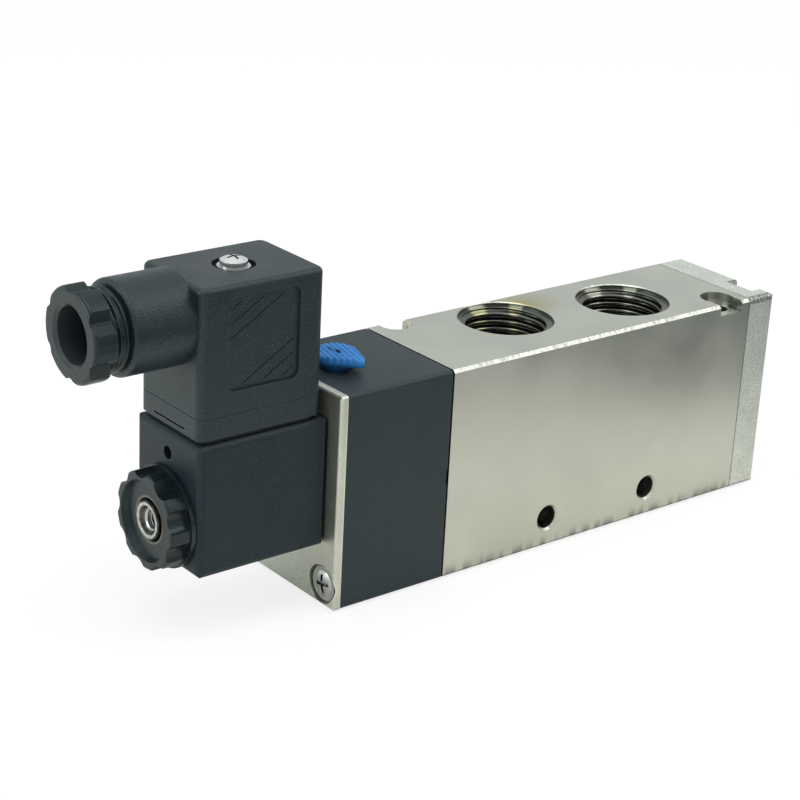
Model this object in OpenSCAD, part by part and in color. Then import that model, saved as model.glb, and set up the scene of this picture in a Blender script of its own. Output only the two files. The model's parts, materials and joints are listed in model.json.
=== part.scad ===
// Five port, two position spool valve with one solenoid pilot, a spring return,
// a coil that is held by a hand nut, and a right-angled cable connector.
// Millimetres, +Z up. The origin is the centre of the supply port's mouth, on the flat bottom.
// +X runs towards the end cap, and the broad face with the side holes looks along -Y.

/* [Valve body] */
// Length of the metal body
body_l = 92.8; // [91:0.2:120]
// Distance of the supply port from the body's middle, towards the end cap
supply_shift = 0.7; // [0:0.1:1]
// Width of the body, end cap, pilot block and adapter plate
body_w = 32; // [31:0.5:40]
// Height of the body, end cap, pilot block and adapter plate
body_h = 50; // [49:0.5:60]
// Bevel along the long edges of the body
body_bevel = 0.7; // [0.2:0.1:1.5]

/* [Ports] */
// Distance between the ports on the bottom, and twice that between the galleries
port_pitch = 32; // [31:0.1:32]
// Major radius of the G1/2 port thread
port_r = 10.48; // [9:0.02:10.6]
// Depth of each threaded port
port_depth = 12.5; // [11:0.25:13]
// Radius of the counterbore round each port
port_mouth_r = 11.25; // [10.8:0.05:11.5]
// Depth of that counterbore
port_sink = 0.9; // [0.5:0.05:1.1]
// Width of the bevel at the counterbore's edge
port_break = 0.25; // [0.1:0.05:0.3]
// Place of port 4 along the body
port_4_x = -15.1; // [-16.5:0.1:-14]
// Rim left between the bevel of port 4 and the far face
port_4_rim = 0.3; // [0.3:0.1:4.5]
// Place of port 2 along the body
port_2_x = 18.1; // [15:0.1:19]
// Offset of port 2 towards the far side
port_2_y = -0.2; // [-2:0.1:4]
// Length across the body of the slot-shaped passage between a port and its gallery
passage_l = 14; // [10:0.5:15]

/* [Spool] */
// Distance from the broad faces to the spool bore
bore_wall_t = 7.5; // [7.2:0.1:8]
// Depth of the ring-shaped gallery at each port
gallery_depth = 3; // [2.4:0.1:3.2]
// Width of each gallery
gallery_w = 7; // [6.5:0.1:8.5]
// Travel of the spool
spool_stroke = 6.8; // [6:0.1:7.5]
// Depth of the spool's waists below the bore
waist_depth = 2.6; // [2.3:0.1:2.9]
// Width of each land that carries a seal
spool_land_w = 4.2; // [4:0.1:5]
// Thickness of the spool and piston seal rings
spool_seal_t = 2; // [1.6:0.1:2.2]
// Depth of the spring pocket in the spool
spring_pocket_l = 14; // [10:0.5:16]
// Thickness of the wall round the spring pocket in the spool
spring_wall_t = 1.1; // [0.9:0.1:1.4]
// Thickness of the return spring's wire
return_wire_t = 1.1; // [0.8:0.1:1.3]
// Turns of the return spring
return_turns = 8; // [6:1:9]

/* [Mounting holes] */
// Distance between the two side holes
side_hole_pitch = 32; // [31:0.1:33]
// Height of the side holes above the bottom
side_hole_z = 7.15; // [6:0.05:8]
// Radius of the side holes
side_hole_r = 2.75; // [2:0.05:3]
// Distance of the near upright hole from the right end of the body
near_hole_inset = 6.2; // [5.7:0.1:6.7]
// Distance of the far upright hole from the left end of the body
far_hole_inset = 7.3; // [6.4:0.1:7.6]
// Distance of the near upright hole from the near face
near_hole_edge = 4.3; // [4:0.1:4.5]
// Distance of the far upright hole from the far face
far_hole_edge = 3.3; // [3:0.1:3.3]
// Radius of the upright holes
upright_hole_r = 2.25; // [2:0.05:2.35]
// Radius of the near head pocket's round end
near_pocket_r = 4.1; // [4:0.1:4.8]
// Distance of the near pocket's round end from the near face
near_pocket_edge = 5.1; // [4.7:0.1:5.5]
// Radius of the far head pocket's round end
far_pocket_r = 3.9; // [3.6:0.1:4.4]
// Distance of the far pocket's round end from the far face
far_pocket_edge = 1.7; // [1.4:0.1:4]
// Step where a pocket narrows towards its open side
pocket_step = 0.4; // [0:0.1:0.6]
// Depth of the pockets below the top
pocket_depth = 2.6; // [2:0.1:2.7]

/* [End cap] */
// Thickness of the end cap
cap_t = 8.5; // [6.5:0.1:9.5]
// Gap between the cap and the body
cap_gap = 0.1; // [0.05:0.05:0.2]
// Thickness of the flat gaskets at both ends of the body
gasket_t = 0.5; // [0.3:0.1:1]
// Distance of the cap's gasket, which lies in a pocket of the cap, in from the faces of the body
cap_gasket_inset = 2; // [1.5:0.1:2.5]
// Distance of the pilot block's gasket in from the faces of the body
gasket_inset = 0.5; // [0.2:0.1:1]
// Rounding of the cap's outer edges
cap_round = 0.9; // [0.5:0.1:1.5]
// Distance of the cap screws from the nearer broad face
cap_screw_edge = 8.2; // [7.8:0.1:8.4]
// Distance of each cap screw from the nearer of top and bottom
cap_screw_inset = 5.5; // [5.2:0.1:6]
// Radius of the screw recesses in the cap
cap_recess_r = 4.1; // [3.9:0.05:4.3]
// Depth of the screw recesses in the cap
cap_recess_depth = 3.7; // [3.2:0.1:3.9]
// Depth of the spring seat in the cap
spring_seat_depth = 4.3; // [3:0.1:4.8]
// Room round the return spring in the cap's seat
spring_seat_gap = 0.9; // [0.5:0.1:1.2]

/* [Pilot block] */
// Length of the pilot block
pilot_l = 28.3; // [28:0.1:36]
// Rounding of the long edges of the pilot block
pilot_round = 1; // [0.3:0.1:1.5]
// Distance from the broad faces to the pilot piston's bore
piston_wall_t = 3.5; // [3:0.1:4.5]
// Depth of the pilot piston's bore
piston_bore_l = 16; // [14.5:0.1:16.5]
// Thickness of the pilot piston
piston_t = 5; // [4:0.1:5.5]
// Radius of the pilot piston's stem
piston_stem_r = 4.5; // [3:0.1:6]
// Radius of the armature chamber
chamber_r = 5.4; // [5.2:0.1:5.8]
// Depth of the armature chamber
chamber_depth = 3; // [2.6:0.1:3.4]
// Radius of the pilot drillings
drilling_r = 1.2; // [0.8:0.1:1.3]
// Distance of the long pilot drilling from the near face
drilling_edge = 3.4; // [3:0.1:3.6]
// Height of the long pilot drilling above the bottom
drilling_z = 14; // [13.8:0.1:15]

/* [Adapter plate] */
// Thickness of the adapter plate
plate_t = 1.8; // [1.7:0.1:4]
// Rounding of the plate's outer edges
plate_round = 0.8; // [0.4:0.1:1.4]
// Distance of the plate screws from the nearer broad face
plate_screw_edge = 4.6; // [4.4:0.1:5]
// Distance of each plate screw from the nearer of top and bottom
plate_screw_inset = 4.9; // [4.7:0.1:5.4]
// Radius of the plate's screw recesses
plate_recess_r = 4.5; // [4.3:0.1:4.6]
// Depth of the plate's screw recesses
plate_recess_depth = 1.2; // [1:0.1:1.4]
// Height of the plate screws' heads
plate_head_h = 1.2; // [1:0.1:1.3]
// Length of the plate screws' thread in the body
plate_screw_grip = 4; // [3:0.1:4.2]

/* [Screws] */
// Radius of the M4 screws' thread
screw_r = 2; // [1.5:0.05:2.2]
// Radius of the M4 pan heads
head_r = 3.9; // [3.4:0.1:4]
// Height of the end cap screws' pan heads
head_h = 2; // [1.6:0.1:2.6]
// Length of an end cap screw under its head
cap_screw_l = 7.8; // [7:0.1:8]

/* [Manual override] */
// Distance of the lever's axis from the body
lever_from_body = 20.5; // [20.2:0.1:21.5]
// Radius of the lever's stem
lever_stem_r = 2.5; // [2:0.1:2.6]
// Depth of the lever's stem below the top
lever_stem_l = 20; // [16:0.5:20.5]
// Radius of the lever's round end
lever_r = 4.5; // [4.3:0.1:6]
// Distance from the lever's axis to the middle of its rounded tip
lever_reach = 6.5; // [6:0.1:9]
// Turn of the lever from square across the valve
lever_turn = 13; // [0:1:20]
// Radius of the lever's tip
lever_tip_r = 1.2; // [0.8:0.1:2]
// Thickness of the lever
lever_t = 1.5; // [1:0.1:2.5]
// Gap between the lever and the top of the pilot block
lever_lift = 1.5; // [1:0.1:3]
// Distance between the grip bumps
bump_pitch = 1.35; // [1.2:0.05:2]
// Height of the grip bumps
bump_h = 0.5; // [0.3:0.1:0.8]

/* [Solenoid] */
// Length of the coil
coil_l = 32.3; // [31:0.1:36]
// Width of the coil
coil_w = 24.2; // [22.5:0.1:26]
// Distance from the tube's axis down to the bottom of the coil
coil_drop = 10.4; // [10.4:0.1:12]
// Distance from the tube's axis up to the top of the coil
coil_rise = 19.3; // [18.5:0.1:22]
// Rounding of the coil's edges
coil_round = 1.6; // [0.8:0.1:2]
// Thickness of the coil's end walls
coil_wall_t = 2.4; // [2.2:0.1:3]
// Radius of the winding
winding_r = 8.6; // [7.5:0.1:8.8]
// Radius of the bobbin's flanges
bobbin_r = 9.2; // [8.9:0.1:9.4]
// Thickness of the bobbin's flanges
bobbin_flange_t = 1.2; // [0.8:0.1:1.6]
// Thickness of the bobbin's tube
bobbin_wall_t = 0.8; // [0.6:0.1:1.2]
// Thickness of the steel frame round the bobbin
frame_t = 1.8; // [1.2:0.1:2]
// Width of the steel frame
frame_w = 16; // [14:0.5:18]
// Radius of the core tube
tube_r = 5; // [4.8:0.05:5.2]
// Wall of the core tube
tube_wall_t = 0.5; // [0.3:0.05:0.6]
// Radius of the core tube's flange
tube_flange_r = 7; // [6.8:0.1:7.6]
// Thickness of the core tube's flange
tube_flange_t = 1.2; // [1:0.1:1.5]
// Travel of the armature
armature_stroke = 1.2; // [0.8:0.1:1.6]
// Length of the armature
armature_l = 18.5; // [16:0.1:20]
// Radius of the armature spring's pocket
armature_pocket_r = 2.3; // [2.1:0.1:2.6]
// Depth of the armature spring's pocket
armature_pocket_l = 9; // [7:0.1:10]
// Thickness of the armature spring's wire
armature_wire_t = 0.5; // [0.3:0.05:0.6]
// Turns of the armature spring
armature_turns = 7; // [5:1:9]
// Radius of the armature's seal
armature_seal_r = 2.6; // [2.4:0.1:3]
// Thickness of the armature's seal
armature_seal_t = 1.5; // [1:0.1:2]
// Radius of the brass seat pressed into the pilot block
seat_r = 2.6; // [2.2:0.1:3]
// Length of the brass seat in the pilot block
seat_l = 3; // [2.5:0.1:3.5]

/* [Coil nut] */
// Rounding of the nut's lobes at its face
nut_round = 0.7; // [0.3:0.1:1]
// Radius over the nut's lobes
nut_r = 10.75; // [10:0.05:11.5]
// Radius at the bottom of the scallops
nut_valley_r = 9.4; // [9.1:0.05:9.8]
// Number of lobes round the nut
nut_lobes = 9; // [7:1:12]
// Angle covered by the top of one lobe
nut_lobe_angle = 14; // [8:1:20]
// Length of the nut with its flange
nut_l = 5.6; // [4.8:0.1:8]
// Radius of the nut's flange
nut_flange_r = 11.2; // [11:0.05:11.8]
// Thickness of the nut's flange
nut_flange_t = 0.9; // [0.6:0.1:1.4]
// Radius of the dished face
nut_dish_r = 8.9; // [8:0.1:9]
// Depth of the dished face
nut_dish_depth = 1.4; // [0.5:0.1:2]
// Radius of the metal insert in the nut
insert_r = 5.3; // [5.2:0.1:6]
// Radius of the threaded stub that the nut turns on
stub_r = 4.3; // [3.9:0.05:4.4]
// Distance that the stub stands out of the nut's dished face
stub_proud = 0.6; // [0.2:0.1:1.5]
// Radius of the M6 thread in the stub, at its crests
stub_thread_r = 2.5; // [2.1:0.05:2.6]
// Width of the bevel at the mouth of that thread
stub_entry = 0.8; // [0.4:0.1:1]
// Depth of the M6 thread in the stub
stub_thread_l = 8; // [5:0.5:10]

/* [Connector] */
// Distance from the coil's back face to the connector's back face
cover_back_gap = 1.6; // [1:0.1:2.5]
// Width of the connector
cover_w = 23; // [20.5:0.1:24]
// Height of the connector above its gasket
cover_h = 32.3; // [32:0.1:38]
// Distance from the coil's front face to the connector's front face
cover_setback = 0.3; // [0:0.1:1]
// Rounding of the connector's upright edges
cover_round = 2.2; // [1.2:0.1:3]
// Rounding of the connector's top edge
cover_top_round = 1.2; // [0.6:0.1:2]
// Thickness of the connector's walls
cover_wall_t = 1.9; // [1.5:0.1:2]
// Height of the seam line above the connector's lower edge
seam_z = 4.5; // [3:0.1:8]
// Depth of the seam line
seam_depth = 0.15; // [0.1:0.05:0.5]
// Height of the seam line's gap
seam_h = 0.2; // [0.1:0.05:0.5]
// Height of the pry slot in the connector's front, above its lower edge
pry_slot_z = 1.1; // [1:0.1:2.5]
// Length of the recessed panel on each side of the connector
panel_l = 17.6; // [14:0.1:20]
// Height of the recessed panel
panel_h = 20; // [14:0.1:20.5]
// Distance from the connector's top down to the panel
panel_drop = 2.7; // [2:0.1:5]
// Depth of the panel
panel_depth = 0.5; // [0.2:0.05:0.7]
// Rounding of the panel's corners
panel_round = 1.8; // [0.5:0.1:2.5]
// Slope of the grip grooves in the panel
groove_angle = 31; // [20:1:45]
// Distance between neighbouring grip grooves, measured upwards
groove_pitch = 3.1; // [2.5:0.1:4]
// Width and depth of a grip groove
groove_w = 0.3; // [0.2:0.05:0.5]
// Thickness of the flat gasket under the connector
cover_gasket_t = 1; // [0.6:0.1:1.6]
// Distance of that gasket's edge in from the connector's faces
cover_gasket_inset = 0.9; // [0.4:0.1:1.4]
// Height of the terminal block
terminal_h = 12.5; // [11:0.1:13]
// Height of the flat contact blades above the coil
blade_h = 9; // [7:0.1:10]
// Width of a contact blade
blade_w = 6.3; // [5:0.1:6.5]
// Thickness of a contact blade
blade_t = 0.8; // [0.6:0.05:1]
// Distance between the two line blades
blade_pitch = 10; // [9.5:0.1:11]
// Radius of the recess round the connector's screw
cover_recess_r = 4.6; // [4.2:0.1:5]
// Depth of that recess
cover_recess_depth = 1; // [0.6:0.1:1.4]
// Offset of the connector's screw from its middle, towards the body
long_screw_shift = 0; // [0:0.1:1.5]
// Radius of the connector's M3 screw
long_screw_r = 1.5; // [1.2:0.05:1.6]
// Radius of the washer face under the connector screw's head
long_head_flange_r = 3.5; // [3.2:0.1:3.9]
// Radius of the connector screw's domed head
long_head_r = 2.9; // [2.6:0.1:3.1]
// Height of the connector screw's head
long_head_h = 2.7; // [2.2:0.1:3.2]

/* [Cable gland] */
// Height of the gland's axis below the connector's top
gland_drop = 8.6; // [8:0.1:10]
// Radius of the gland boss
boss_r = 10.1; // [10:0.1:10.5]
// Length of the gland boss
boss_l = 14.3; // [12:0.1:18]
// Radius of the gland nut's neck
neck_r = 8.4; // [8.2:0.1:8.7]
// Depth of the gland nut's neck in the boss
neck_l = 6; // [4:0.1:6.5]
// Distance that the neck shows between boss and lobes
neck_show = 4; // [3:0.1:6]
// Rounding of the gland boss's lip
boss_round = 1; // [0.3:0.1:1.2]
// Radius over the gland nut's lobes
gland_lobe_r = 10; // [9.6:0.1:10.4]
// Radius of the gland nut between its lobes
gland_valley_r = 8.8; // [8.2:0.1:9]
// Number of lobes on the gland nut
gland_lobes = 6; // [5:1:8]
// Length of the gland nut's lobes
gland_lobe_l = 4.8; // [3.5:0.1:7]
// Radius of the cable opening
cable_r = 6; // [5:0.1:6.5]
// Radius of the hole in the rubber cable seal
cable_seal_r = 3.6; // [2.5:0.1:4.5]

/* [Fits] */
// Radial clearance of parts that turn or slide in each other
run_gap = 0.08; // [0.02:0.01:0.1]
// Clearance between parts that are pressed, bonded or clamped together
close_gap = 0.04; // [0.02:0.01:0.1]
// Clearance at a hole that a screw or pipe passes freely
free_gap = 0.3; // [0.2:0.05:0.5]
// Clearance between a moving part and its stop
stop_gap = 0.2; // [0.1:0.05:0.3]

/* [Hidden] */
$fn = 64;
// Extra length of a cutting tool past the face that it cuts
over = 1;

// Planes across the valve, from the end cap to the gland
body_right = body_l / 2 - supply_shift;
body_left = body_right - body_l;
cap_left = body_right + cap_gap;
cap_right = cap_left + cap_t;
pilot_right = body_left - gasket_t;
pilot_left = pilot_right - pilot_l;
plate_left = pilot_left - plate_t;
coil_gap = 0.15;
coil_back = plate_left - coil_gap;
coil_front = coil_back - coil_l;
nut_back = coil_front - coil_gap;
nut_front = nut_back - nut_l;
stub_front = nut_front + nut_dish_depth - stub_proud;

// Places across the valve, from its broad faces
half_w = body_w / 2;
port_4_y = half_w - port_mouth_r - port_break - port_4_rim;
near_hole_y = half_w - near_hole_edge;
far_hole_y = half_w - far_hole_edge;
near_pocket_y = half_w - near_pocket_edge;
far_pocket_y = half_w - far_pocket_edge;
cap_screw_y = half_w - cap_screw_edge;
plate_screw_y = half_w - plate_screw_edge;
drilling_y = half_w - drilling_edge;

// Spool axis, its bore, and its seals at rest
axis_z = body_h / 2;
bore_r = half_w - bore_wall_t;
gallery_r = bore_r + gallery_depth;
spool_waist_r = bore_r - waist_depth;
spring_pocket_r = spool_waist_r - spring_wall_t;
spring_r = spring_pocket_r - free_gap - return_wire_t / 2;
spring_seat_r = spring_r + return_wire_t / 2 + spring_seat_gap;
gallery_pitch = port_pitch / 2;
land_mid = gallery_pitch / 2;
seal_edge = spool_land_w / 2 + stop_gap;
seal_x = [
    body_left + seal_edge,
    -3 * land_mid - spool_stroke,
    -land_mid,
    land_mid - spool_stroke,
    3 * land_mid,
    body_right - seal_edge - spool_stroke
];
spool_left = body_left + stop_gap;
spool_right = body_right - stop_gap - spool_stroke;
seal_ring_r = spool_seal_t / 2;
seal_mid_r = bore_r - run_gap - seal_ring_r;
seal_groove_r = seal_mid_r - seal_ring_r - close_gap;
seal_groove_w = spool_seal_t + 4 * close_gap;
spool_land_r = bore_r - free_gap;

// Corner radius of the body gaskets
gasket_corner_r = 2;

// End cap screws, and the heights of both pairs of screws: upper one for side 1, lower for -1
cap_screw_tip = cap_right - cap_recess_depth - cap_screw_l;
function cap_screw_height(side) = side > 0 ? body_h - cap_screw_inset : cap_screw_inset;
function plate_screw_height(side) = side > 0 ? body_h - plate_screw_inset : plate_screw_inset;

// Small notch at the gasket joint, in the near face of the pilot block
tab_notch = 0.4;
tab_notch_h = 3.5;

// Pilot piston
piston_bore_r = half_w - piston_wall_t;
piston_left = pilot_right - piston_bore_l + stop_gap;
piston_right = piston_left + piston_t;
piston_mid = (piston_left + piston_right) / 2;
piston_ring_r = 1.3;
piston_ring_mid_r = piston_bore_r - run_gap - piston_ring_r;
piston_r = piston_bore_r - free_gap;

// Manual override
lever_x = body_left - lever_from_body;
lever_bottom = body_h + lever_lift;
lever_top = lever_bottom + lever_t;
lever_hole_r = lever_stem_r + run_gap;
lever_hole_bottom = body_h - lever_stem_l - stop_gap;
lever_well_r = 4.2;
lever_well_depth = 1.2;
lever_seal_drop = 6;
lever_seal_z = body_h - lever_seal_drop;
lever_collar_t = 0.7;
lever_seal_ring_r = 0.6;
lever_groove_r = lever_hole_r - 2 * lever_seal_ring_r - close_gap;
bypass_z = lever_hole_bottom + 2;
bypass_share = 0.75;

// Tube, armature and seat
tube_bore_r = tube_r - tube_wall_t;
tube_front = coil_front + 1;
nozzle_rise = 2.1;
nozzle_hole_r = 0.6;
vent_r = 0.8;
seal_proud = 0.25;
tube_seal_r = chamber_r + 0.6;
tube_seal_t = 1;
seat_front = pilot_left + chamber_depth;
seat_back = seat_front + seat_l;
seat_face = seat_front - nozzle_rise;
armature_right = seat_face - seal_proud;
armature_left = armature_right - armature_l;
armature_r = tube_bore_r - run_gap;
core_back = armature_left - armature_stroke - close_gap;
core_r = tube_bore_r - close_gap;

// Inside of the coil
bobbin_back = coil_back - coil_wall_t - frame_t;
bobbin_front = coil_front + coil_wall_t + frame_t;
coil_bore_r = tube_r + run_gap;
bobbin_tube_r = coil_bore_r + bobbin_wall_t;
coil_top = axis_z + coil_rise;
frame_top = axis_z + bobbin_r + free_gap + frame_t;
frame_foot = 0.6;
ring_seal_t = 1.2;
ring_seal_r = 8;
ring_depth = ring_seal_t - coil_gap;
nut_rest_angle = 22.4;

// Connector
cover_front = coil_front + cover_setback;
cover_back = coil_back - cover_back_gap;
cover_l = cover_back - cover_front;
cover_mid = (cover_front + cover_back) / 2;
cover_bottom = coil_top + cover_gasket_t;
cover_top = cover_bottom + cover_h;
cavity_top = cover_top - cover_wall_t - cover_recess_depth;
cavity_round = 1.5;
terminal_top = cover_bottom + terminal_h;
line_blade_inset = 8.7;
line_blade_x = cover_back - line_blade_inset;
earth_blade_inset = 7.7;
earth_blade_x = cover_front + earth_blade_inset;
blade_root = 4;
clamp_t = 3;
clamp_w = 5;
clamp_screw_r = 0.9;
clamp_screw_l = 4;
clamp_rise = 5;
clamp_shift = clamp_t / 2 + blade_t / 2 + close_gap;
long_screw_x = cover_mid + long_screw_shift;
pillar_r = 3.2;
long_head_flange_t = 0.7;
pry_slot_l = 11.5;
pry_slot_h = 0.4;
pry_slot_d = 0.8;
thread_insert_r = 2.6;
thread_insert_l = 6;

// Gland
gland_z = cover_top - gland_drop;
boss_front = cover_front - boss_l;
boss_bore_r = neck_r + run_gap;
boss_inside = 0.5;
neck_back = boss_front + neck_l;
lobe_back = boss_front - neck_show;
gland_front = lobe_back - gland_lobe_l;
cable_hole_r = 5;
gland_round = 1;
gland_root_w = 9;
gland_top_w = 5;
gland_top_t = 0.6;
washer_t = 0.6;
seal_wall_t = 0.6;
seal_back = cover_front - seal_wall_t;

// Round bar along X, from x0 to x1
module bar_x(r, x0, x1, y = 0, z = axis_z) {
    translate([x0, y, z]) rotate([0, 90, 0]) cylinder(r = r, h = x1 - x0);
}

// Cone along X, with radius r0 at x0 and r1 at x1
module cone_x(r0, r1, x0, x1, y = 0, z = axis_z) {
    translate([x0, y, z]) rotate([0, 90, 0]) cylinder(r1 = r0, r2 = r1, h = x1 - x0);
}

// Upright round bar from z0 to z1
module bar_z(r, x, y, z0, z1) {
    translate([x, y, z0]) cylinder(r = r, h = z1 - z0);
}

// Pipe along X
module pipe_x(outer, inner, x0, x1, y = 0, z = axis_z) {
    difference() {
        bar_x(outer, x0, x1, y, z);
        bar_x(inner, x0 - over, x1 + over, y, z);
    }
}

// Ring of round section round the X axis
module ring_x(mid_r, ring_r, x, z = axis_z) {
    translate([x, 0, z]) rotate([0, 90, 0]) rotate_extrude()
        translate([mid_r, 0]) circle(r = ring_r, $fn = 32);
}

// Rectangle with round corners, centred, from squares and circles
module round_rect(w, h, r) {
    square([w - 2 * r, h], center = true);
    square([w, h - 2 * r], center = true);
    for (sx = [-1, 1])
        for (sy = [-1, 1])
            translate([sx * (w / 2 - r), sy * (h / 2 - r)]) circle(r = r, $fn = 32);
}

// Rectangle whose corners are cut off by b
module cut_rect(w, h, b) {
    intersection() {
        square([w, h], center = true);
        rotate(45) square(sqrt(2) * (w / 2 + h / 2 - b), center = true);
    }
}

// Prism along X whose section in Y and Z is the child, centred on the valve's middle height
module along_x(x0, x1) {
    translate([x0, 0, body_h / 2]) rotate([90, 0, 90]) linear_extrude(x1 - x0) children();
}

// Block from corner lo to corner hi with its edges rounded: what three rounded prisms share
module round_block(lo, hi, r) {
    size = hi - lo;
    translate((lo + hi) / 2) intersection() {
        linear_extrude(size[2], center = true) round_rect(size[0], size[1], r);
        rotate([90, 0, 0]) linear_extrude(size[1], center = true) round_rect(size[0], size[2], r);
        rotate([90, 0, 90]) linear_extrude(size[0], center = true) round_rect(size[1], size[2], r);
    }
}

// Flat end piece between x0 and x1: round edges on its outer face, square ones where it joins
module end_piece(x0, x1, r, outer_right) {
    past = 2 * r;
    intersection() {
        round_block([x0 - (outer_right ? past : 0), -body_w / 2, 0],
            [x1 + (outer_right ? 0 : past), body_w / 2, body_h], r);
        translate([x0, -body_w, -over]) cube([x1 - x0, 2 * body_w, body_h + 2 * over]);
    }
}

// Four-armed driver recess, cut down into a head whose top is at z = 0
module cross_recess(reach, arm, depth) {
    for (a = [0, 90])
        rotate(a) translate([-reach, -arm / 2, -depth]) cube([2 * reach, arm, depth + over]);
}

// Pan head screw along +Z: its seat is at z = 0, its head above it and its thread below
module pan_screw(thread_r, thread_l, pan_r, pan_h) {
    difference() {
        union() {
            translate([0, 0, -thread_l]) cylinder(r = thread_r, h = thread_l);
            rotate_extrude() {
                square([pan_r, pan_h * 0.5]);
                intersection() {
                    translate([0, pan_h * 0.5]) square([pan_r, pan_h * 0.5]);
                    translate([0, pan_h - pan_r * 1.9]) circle(r = pan_r * 1.9, $fn = 96);
                }
            }
        }
        translate([0, 0, pan_h]) cross_recess(pan_r * 0.55, pan_r * 0.2, pan_h * 0.6);
    }
}

// Helical spring along +X from x0 to x1
module spring_x(mid_r, wire_t, turns, x0, x1, z = axis_z) {
    steps = 14 * turns;
    sides = 6;
    run = x1 - x0 - wire_t;
    points = [
        for (i = [0:steps])
            for (j = [0:sides - 1])
                let (
                    a = 360 * turns * i / steps,
                    b = 360 * j / sides,
                    rr = mid_r + wire_t / 2 * cos(b)
                )
                [x0 + wire_t / 2 + run * i / steps + wire_t / 2 * sin(b), rr * cos(a), z + rr * sin(a)]
    ];
    sides_faces = [
        for (i = [0:steps - 1])
            for (j = [0:sides - 1])
                let (k = (j + 1) % sides)
                [i * sides + j, i * sides + k, (i + 1) * sides + k, (i + 1) * sides + j]
    ];
    first = [for (j = [sides - 1:-1:0]) j];
    last = [for (j = [0:sides - 1]) steps * sides + j];
    polyhedron(points = points, faces = concat(sides_faces, [first, last]));
}

// Threaded port with its counterbore, from the bottom face up or from the top face down
module port(x, y, from_top) {
    translate([x, y, from_top ? body_h : 0]) mirror([0, 0, from_top ? 1 : 0])
        translate([0, 0, -over]) {
            cylinder(r = port_r, h = port_depth + over);
            cylinder(r = port_mouth_r, h = port_sink + over);
            cylinder(r1 = port_mouth_r + port_break + over, r2 = port_mouth_r, h = port_break + over);
        }
}

// Slot-shaped passage from a port's floor at height z to the middle of its gallery
module passage(x, z) {
    half = gallery_w / 2;
    low = min(z, axis_z);
    rise = abs(axis_z - z);
    translate([x - half, half - passage_l / 2, low]) cube([gallery_w, passage_l - gallery_w, rise]);
    for (side = [-1, 1])
        bar_z(half, x, side * (passage_l / 2 - half), low, low + rise);
}

// Upright screw hole with its head pocket, open at the broad face on the given side
module upright_hole(x, side, hole_y, head_r, head_y) {
    floor_z = body_h - pocket_depth;
    neck = head_r - pocket_step;
    face_y = body_w / 2 + over;
    bar_z(upright_hole_r, x, side * hole_y, -over, body_h);
    bar_z(head_r, x, side * head_y, floor_z, body_h + over);
    translate([x - neck, side > 0 ? head_y : -face_y, floor_z])
        cube([2 * neck, face_y - head_y, pocket_depth + over]);
}

module valve_body() {
    color("silver") difference() {
        along_x(body_left, body_right) cut_rect(body_w, body_h, body_bevel);
        bar_x(bore_r, body_left - over, body_right + over);
        for (i = [-2:2])
            bar_x(gallery_r, i * gallery_pitch - gallery_w / 2, i * gallery_pitch + gallery_w / 2);
        for (i = [-1:1]) port(i * port_pitch, 0, false);
        port(port_4_x, port_4_y, true);
        port(port_2_x, port_2_y, true);
        for (i = [-1:1]) passage(i * port_pitch, port_depth - over);
        for (i = [-1, 1]) passage(i * gallery_pitch, body_h - port_depth + over);
        upright_hole(body_right - near_hole_inset, -1, near_hole_y, near_pocket_r, near_pocket_y);
        upright_hole(body_left + far_hole_inset, 1, far_hole_y, far_pocket_r, far_pocket_y);
        for (side = [-1, 1]) {
            side_hole(side * side_hole_pitch / 2);
            bar_x(screw_r + close_gap, body_left - over, body_left + plate_screw_grip + free_gap,
                side * plate_screw_y, plate_screw_height(side));
            bar_x(screw_r + close_gap, cap_screw_tip - free_gap, body_right + over,
                -side * cap_screw_y, cap_screw_height(side));
        }
        bar_x(drilling_r, body_left - over, drilling_r, -drilling_y, drilling_z);
        translate([0, -drilling_y, drilling_z]) rotate([-90, 0, 0])
            cylinder(r = drilling_r, h = drilling_y - passage_l / 2 + over);
    }
}

// Side hole right through the body, with a small countersink at each mouth
module side_hole(x) {
    sink = 0.5;
    translate([x, 0, side_hole_z]) rotate([90, 0, 0]) {
        cylinder(r = side_hole_r, h = body_w + 2 * over, center = true);
        for (m = [0, 1])
            mirror([0, 0, m]) translate([0, 0, body_w / 2 - sink])
                cylinder(r1 = side_hole_r, r2 = side_hole_r + sink + over, h = sink + over);
    }
}

module end_cap() {
    color("gainsboro") difference() {
        end_piece(cap_left, cap_right, cap_round, true);
        along_x(cap_left - over, body_right + gasket_t)
            gasket_outline(cap_gasket_inset - close_gap);
        bar_x(spring_seat_r, cap_left - over, cap_left + spring_seat_depth);
        for (side = [-1, 1]) {
            y = -side * cap_screw_y;
            z = cap_screw_height(side);
            recess_x = cap_right - cap_recess_depth;
            bar_x(screw_r + free_gap, cap_left - over, cap_right, y, z);
            bar_x(cap_recess_r, recess_x, cap_right + over, y, z);
            translate([recess_x, y - cap_recess_r, side > 0 ? z : -over])
                cube([cap_recess_depth + over, 2 * cap_recess_r, cap_screw_inset + over]);
        }
    }
}

// Outer edge of a body gasket, at a distance in from the faces of the body
module gasket_outline(inset) {
    round_rect(body_w - 2 * inset, body_h - 2 * inset, gasket_corner_r);
}

// Flat gasket on the body's section, with its middle opening
module body_gasket(x0, inset, opening_r) {
    difference() {
        along_x(x0, x0 + gasket_t) gasket_outline(inset);
        bar_x(opening_r, x0 - over, x0 + gasket_t + over);
        children();
    }
}

module end_cap_gasket() {
    color("dimgray") body_gasket(body_right, cap_gasket_inset, bore_r + free_gap)
        for (side = [-1, 1])
            bar_x(screw_r + free_gap, body_right - over, body_right + gasket_t + over,
                -side * cap_screw_y, cap_screw_height(side));
}

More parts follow.
